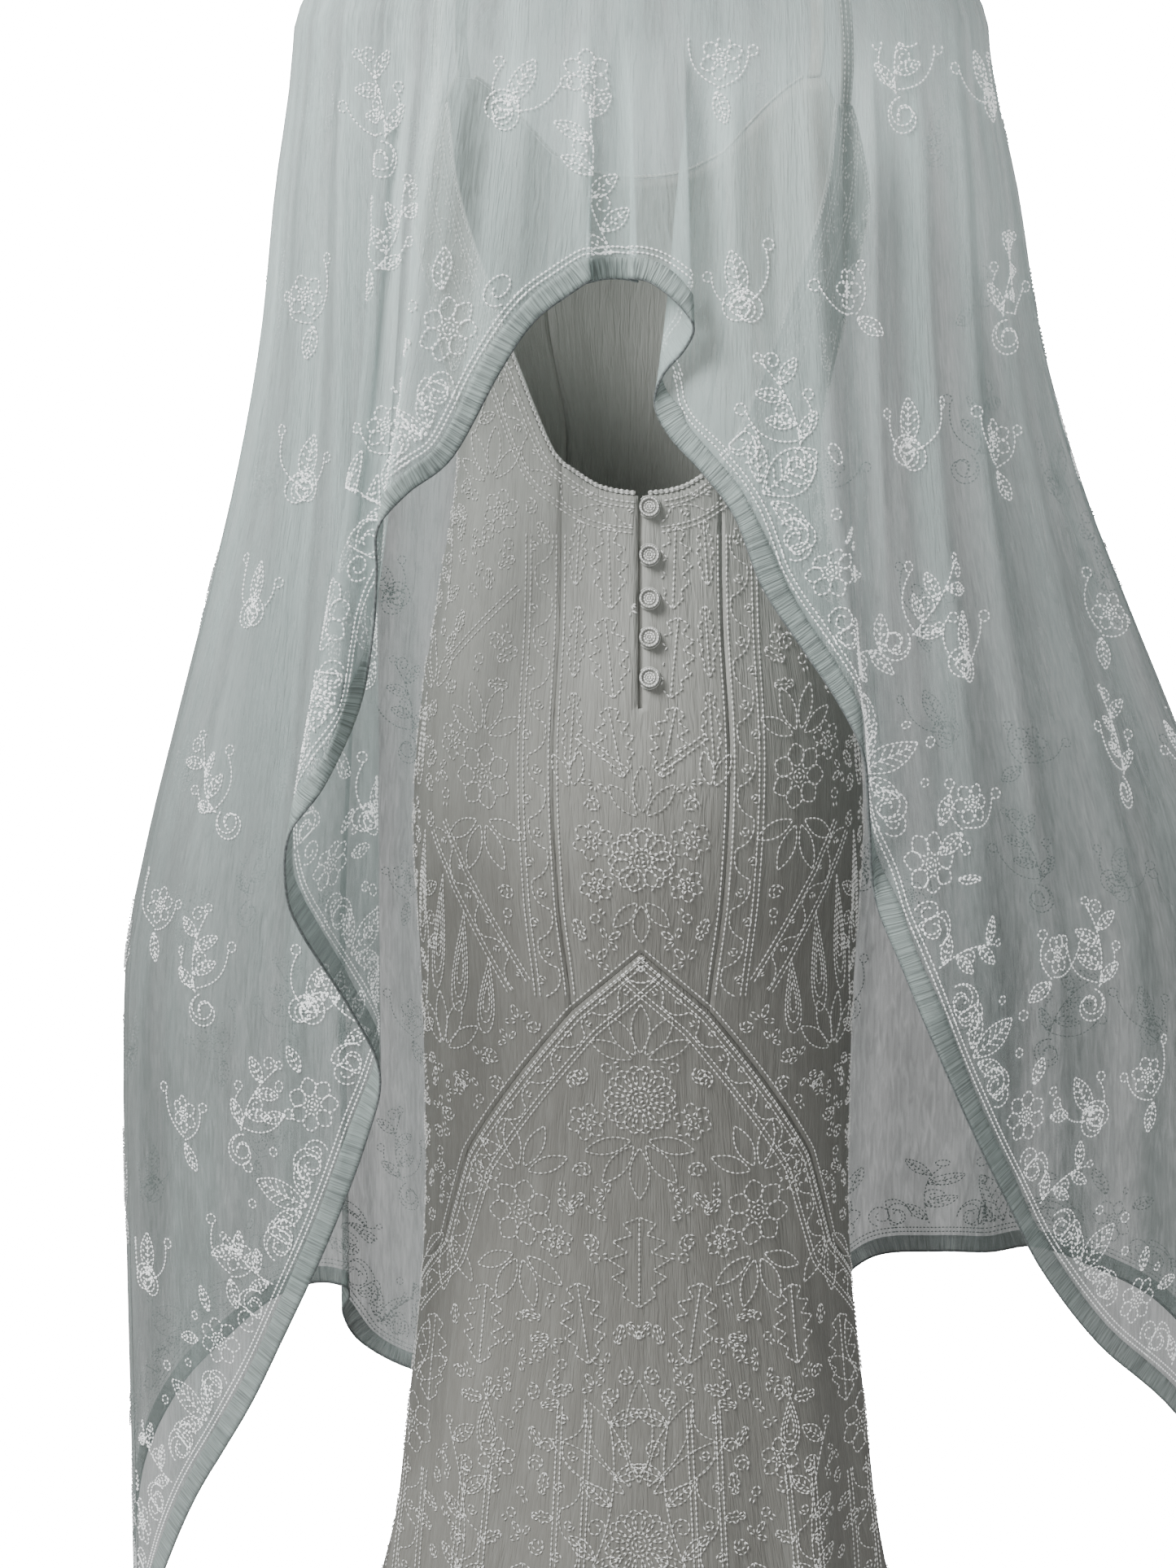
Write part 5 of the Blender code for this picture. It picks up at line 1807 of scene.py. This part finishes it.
def cape_sewing(cape, seed):
    """All the beads of the cape's back or front."""
    places = np.linspace(0.0, cape.last, cape.last * 12 + 1)
    chart = Chart(cape.point, places, -1.366, YOKE_Z)
    sewing = Sewing(chart, cape.facing, cape_keep(cape), seed)
    fine = np.linspace(0.0, cape.last, cape.last * 24 + 1)
    hem_z = catmull(cape.folds, fine)[:, 3]
    hem = cape.point(fine, hem_z)
    along = np.concatenate([[0.0], np.cumsum(np.linalg.norm(np.diff(hem, axis=0), axis=-1))])
    count = int(along[-1] / BORDER_STEP)
    for number in range(count):
        ends = along[-1] * (np.array([number, number + 1]) / count)
        near = (along > ends[0] - 0.004) & (along < ends[1] + 0.004)
        middle = float(np.interp(ends.mean(), along, fine))
        path = flat_path(chart, middle, fine[near], hem_z[near])
        lines = [np.array([(0.0, y), (0.080, y)]) for y in BORDER_LINES]
        if not (cape is CAPE_BACK and PLEAT[0] < middle < PLEAT[1]):
            lines += border_motif(number)
        sewing.lines(middle, followed(path, lines))
    if cape is CAPE_BACK:
        sewing.lines(PLEAT_MIDDLE, turned(stem(0.098, 8, 0.026), 4.0, (-0.032, -0.246)))
        sewing.lines(PLEAT_MIDDLE, turned(flower(0.017, 6), 0.0, (-0.036, -0.128)))
    number = 0
    for row, z in enumerate(np.arange(SPRIG_TOP_Z, SPRIG_END_Z, -SPRIG_DROP)):
        width = float(chart.distance(float(cape.last), z))
        step = SPRIG_STEP * (1.0 if z > DENSE_BELOW else DENSE_SHARE)
        for s in np.arange(step * (0.5 if row % 2 else 0.95), width, step):
            shift = sewing.random.uniform(-SPRIG_SHIFT, SPRIG_SHIFT, 2)
            origin = float(chart.place(s + shift[0], z + shift[1]))
            hem = catmull(cape.folds, origin)[3]
            turn = float(sewing.random.uniform(-SPRIG_TURN_DEG, SPRIG_TURN_DEG))
            middle = (0.0, z + shift[1])
            if middle[1] > hem + SPRIG_FROM_HEM:
                sewing.lines(origin, turned(sprig(number), turn, middle, flip=number % 2 == 0))
                number += 1
    return sewing


# The height that parts the gown's beads into two pieces a side.
GOWN_BEADS_PARTED_Z = -0.74


class GOWN_OT_gown_beads(bpy.types.Operator):
    """Sews the beads on the back and the front of the gown"""

    bl_idname = "gown.gown_beads"
    bl_label = "Gown beads"

    def execute(self, context):
        for seed, side in enumerate((BACK, FRONT)):
            name = f"gown_beads_{side.name}"
            parted = (GOWN_BEADS_PARTED_Z,)
            gown_sewing(side, seed).pieces(name, "gown_chiffon", "gown_beads", BUGLE, BUGLE_STEP, parted)
        return {"FINISHED"}


# Beads on a button: share of the radius, share of the height and number in each ring.
BUTTON_RINGS = ((0.0, 0.86, 1), (0.26, 0.84, 6), (0.50, 0.80, 11), (0.86, 1.02, 20))
LOOP_RADIUS = 0.0005
LOOP_TURN_DEG = 140.0
LOOP_LIFT = 0.0011
STRAP_BEAD_COLUMNS = (1, 3, 5)


def ring_beads(foot, facing, radius, rise, count):
    """Beads in a ring round the axis of a button, each lying along the ring."""
    across, up = frame_of(facing)
    angle = np.arange(count)[:, None] * math.tau / count
    out = np.cos(angle) * across + np.sin(angle) * up
    way = np.cos(angle) * up - np.sin(angle) * across
    faced = np.broadcast_to(facing, out.shape)
    sizes = np.broadcast_to(SMALL, (count, 2))
    return np.concatenate([foot + out * radius + faced * rise, way, faced, sizes], axis=-1)


def cord_threads():
    """Threads of beads round the corded necklines: rows of point, outward direction and presence."""
    for _, points in neck_lines():
        level = unit(points * (1.0, 1.0, 0.0))
        for rise in (-0.6, 0.3, 1.6):
            out = unit(level + (0.0, 0.0, rise))
            yield np.concatenate([points + out * CORD_RADIUS * 0.8, out, np.ones((len(points), 1))], axis=-1)


def strap_threads():
    """Threads of beads down the straps."""
    for way in (-1, 1):
        points = strap_grid(way)
        out = grid_outward(points)
        for column in STRAP_BEAD_COLUMNS:
            here = np.ones((len(points), 1))
            yield np.concatenate([points[:, column], out[:, column], here], axis=-1)


class GOWN_OT_trim_beads(bpy.types.Operator):
    """Sews beads on the buttons, the corded necklines and the straps, and a loop round each button"""

    bl_idname = "gown.trim_beads"
    bl_label = "Beads on the trim"

    def execute(self, context):
        rows = []
        for number, height in enumerate(BUTTON_HEIGHTS, start=1):
            foot, facing = button_frame(height)
            for share, rise, count in BUTTON_RINGS:
                rows.append(ring_beads(foot, facing, BUTTON_RADIUS * share, BUTTON_HEIGHT * rise, count))
            across, up = frame_of(facing)
            angle = np.radians(np.linspace(-LOOP_TURN_DEG, LOOP_TURN_DEG, 28))[:, None]
            round_button = (np.cos(angle) * across + np.sin(angle) * up) * (BUTTON_RADIUS + LOOP_RADIUS)
            loop = tube(f"button_loop_{number}", foot + round_button + facing * LOOP_LIFT, LOOP_RADIUS, 1)
            place(loop, "button_cover", "cord_cloth")
        random = np.random.default_rng(30)
        mesh = bead_mesh("button_beads", np.concatenate(rows), random)
        place(bpy.data.objects.new(mesh.name, mesh), "button_cover", "gown_beads")
        for name, slot, threads in (
            ("cord_beads", "corded_edge", cord_threads()),
            ("strap_beads", "gown_chiffon", strap_threads()),
        ):
            beads = np.concatenate([bead_rows(thread, BUGLE, BUGLE_STEP) for thread in threads])
            mesh = bead_mesh(name, beads, random)
            place(bpy.data.objects.new(mesh.name, mesh), slot, "gown_beads")
        return {"FINISHED"}


class GOWN_OT_cape_beads(bpy.types.Operator):
    """Sews the beads on the back and the front of the cape"""

    bl_idname = "gown.cape_beads"
    bl_label = "Cape beads"

    def execute(self, context):
        for seed, cape in enumerate((CAPE_BACK, CAPE_FRONT)):
            # The back's beads take the glowing copy, a painted highlight; the front's take the darker copy
            # without glow, painted shade for beads seen unlit through the cloth.
            material = "cape_beads" if cape is CAPE_BACK else "cape_front_shaded_beads"
            sewing = cape_sewing(cape, 10 + seed)
            sewing.pieces(f"cape_beads_{cape.name}", "cape_chiffon", material, SMALL, SMALL_STEP, ())
        return {"FINISHED"}


def lamp(name, where, towards, size, watts):
    """A square soft light at a place, turned towards a point."""
    light = bpy.data.lights.new(name, "AREA")
    light.size = size
    light.energy = watts
    made = bpy.data.objects.new(name, light)
    made.location = where
    made.rotation_euler = (Vector(towards) - Vector(where)).to_track_quat("-Z", "Y").to_euler()
    bpy.context.scene.collection.objects.link(made)


# Light that falls from all round, and the share of the floor that glows like the backdrop.
AMBIENT = 0.22
FLOOR_GLOW = 0.9
FLOOR_DROP = 0.004


def backdrop_light(start, settings):
    """Brightness of the backdrop: full where the camera sees it, less where it is seen through cloth."""
    seen = start.node("ShaderNodeLightPath", output="Is Camera Ray")
    layers = start.node("ShaderNodeLightPath", output="Transparent Depth")
    through = layers > 0.5
    return seen, settings.backdrop + through * (settings.through - settings.backdrop)


class GOWN_OT_stage(bpy.types.Operator):
    """Sets up the camera, the lights, the floor and the white backdrop"""

    bl_idname = "gown.stage"
    bl_label = "Stage"

    def execute(self, context):
        settings = context.scene.stage_settings
        world = bpy.data.worlds.new("backdrop")
        world.use_nodes = True
        context.scene.world = world
        start = Wire(world.node_tree)
        sky = world.node_tree.nodes["Background"]
        seen, bright = backdrop_light(start, settings)
        start.feed(sky.inputs["Strength"], AMBIENT + seen * (bright - AMBIENT))
        sky.inputs["Color"].default_value = (1.0, 1.0, 1.0, 1.0)

        shape = bmesh.new()
        bmesh.ops.create_grid(shape, x_segments=1, y_segments=1, size=6.0)
        mesh = bpy.data.meshes.new("floor")
        shape.to_mesh(mesh)
        shape.free()
        mesh.transform(Matrix.Translation((0.0, 0.0, HEM_Z - FLOOR_DROP)))
        floor = bpy.data.objects.new("floor", mesh)
        made, start, shader = material_tree("floor")
        shader.inputs["Base Color"].default_value = (0.85, 0.85, 0.85, 1.0)
        seen, bright = backdrop_light(start, settings)
        glow = start.node("ShaderNodeEmission", inputs={"Strength": bright})
        laid = Wire(start.tree, shader.outputs[0])
        mixed = start.node("ShaderNodeMixShader", inputs={0: seen * FLOOR_GLOW, 1: laid, 2: glow})
        start.feed(start.tree.nodes["Material Output"].inputs["Surface"], mixed)
        mesh.materials.append(made)
        context.scene.collection.objects.link(floor)

        lamp("key", (-1.55, -1.15, 1.3), (0.0, 0.0, -0.45), 1.1, 128.0)
        lamp("fill", (1.6, -2.2, 0.3), (0.0, 0.0, -0.5), 1.6, 7.0)

        lens = bpy.data.cameras.new("camera")
        lens.lens = settings.lens
        lens.sensor_width = 36.0
        lens.dof.use_dof = False
        camera = bpy.data.objects.new("camera", lens)
        camera.location = settings.camera
        camera.rotation_euler = (math.pi / 2 - settings.tilt, 0.0, 0.0)
        context.scene.collection.objects.link(camera)
        context.scene.camera = camera
        return {"FINISHED"}


class GOWN_PT_panel(bpy.types.Panel):
    """The gown's settings and steps"""

    bl_idname = "GOWN_PT_panel"
    bl_label = "Beaded Wedding Gown"
    bl_space_type = "VIEW_3D"
    bl_region_type = "UI"
    bl_category = "Gown"

    def draw(self, context):
        scene = context.scene
        for settings in (scene.gown_settings, scene.cape_settings, scene.stage_settings):
            for name in settings.bl_rna.properties.keys():
                if name not in ("rna_type", "name"):
                    self.layout.prop(settings, name)
        for step in STEPS:
            self.layout.operator(step.bl_idname)


STEPS = (
    GOWN_OT_panels,
    GOWN_OT_straps,
    GOWN_OT_closing,
    GOWN_OT_cords,
    GOWN_OT_cape,
    GOWN_OT_bands,
    GOWN_OT_gown_beads,
    GOWN_OT_trim_beads,
    GOWN_OT_cape_beads,
    GOWN_OT_stage,
)
CLASSES = (GownSettings, CapeSettings, StageSettings, *STEPS, GOWN_PT_panel)


def register():
    for kind in CLASSES:
        bpy.utils.register_class(kind)
    bpy.types.Scene.gown_settings = PointerProperty(type=GownSettings)
    bpy.types.Scene.cape_settings = PointerProperty(type=CapeSettings)
    bpy.types.Scene.stage_settings = PointerProperty(type=StageSettings)


def unregister():
    del bpy.types.Scene.stage_settings
    del bpy.types.Scene.cape_settings
    del bpy.types.Scene.gown_settings
    for kind in reversed(CLASSES):
        bpy.utils.unregister_class(kind)


def main():
    register()
    bpy.ops.gown.panels()
    bpy.ops.gown.straps()
    bpy.ops.gown.closing()
    bpy.ops.gown.cords()
    bpy.ops.gown.cape()
    bpy.ops.gown.bands()
    bpy.ops.gown.gown_beads()
    bpy.ops.gown.trim_beads()
    bpy.ops.gown.cape_beads()
    bpy.ops.gown.stage()


if __name__ == "__main__":
    main()
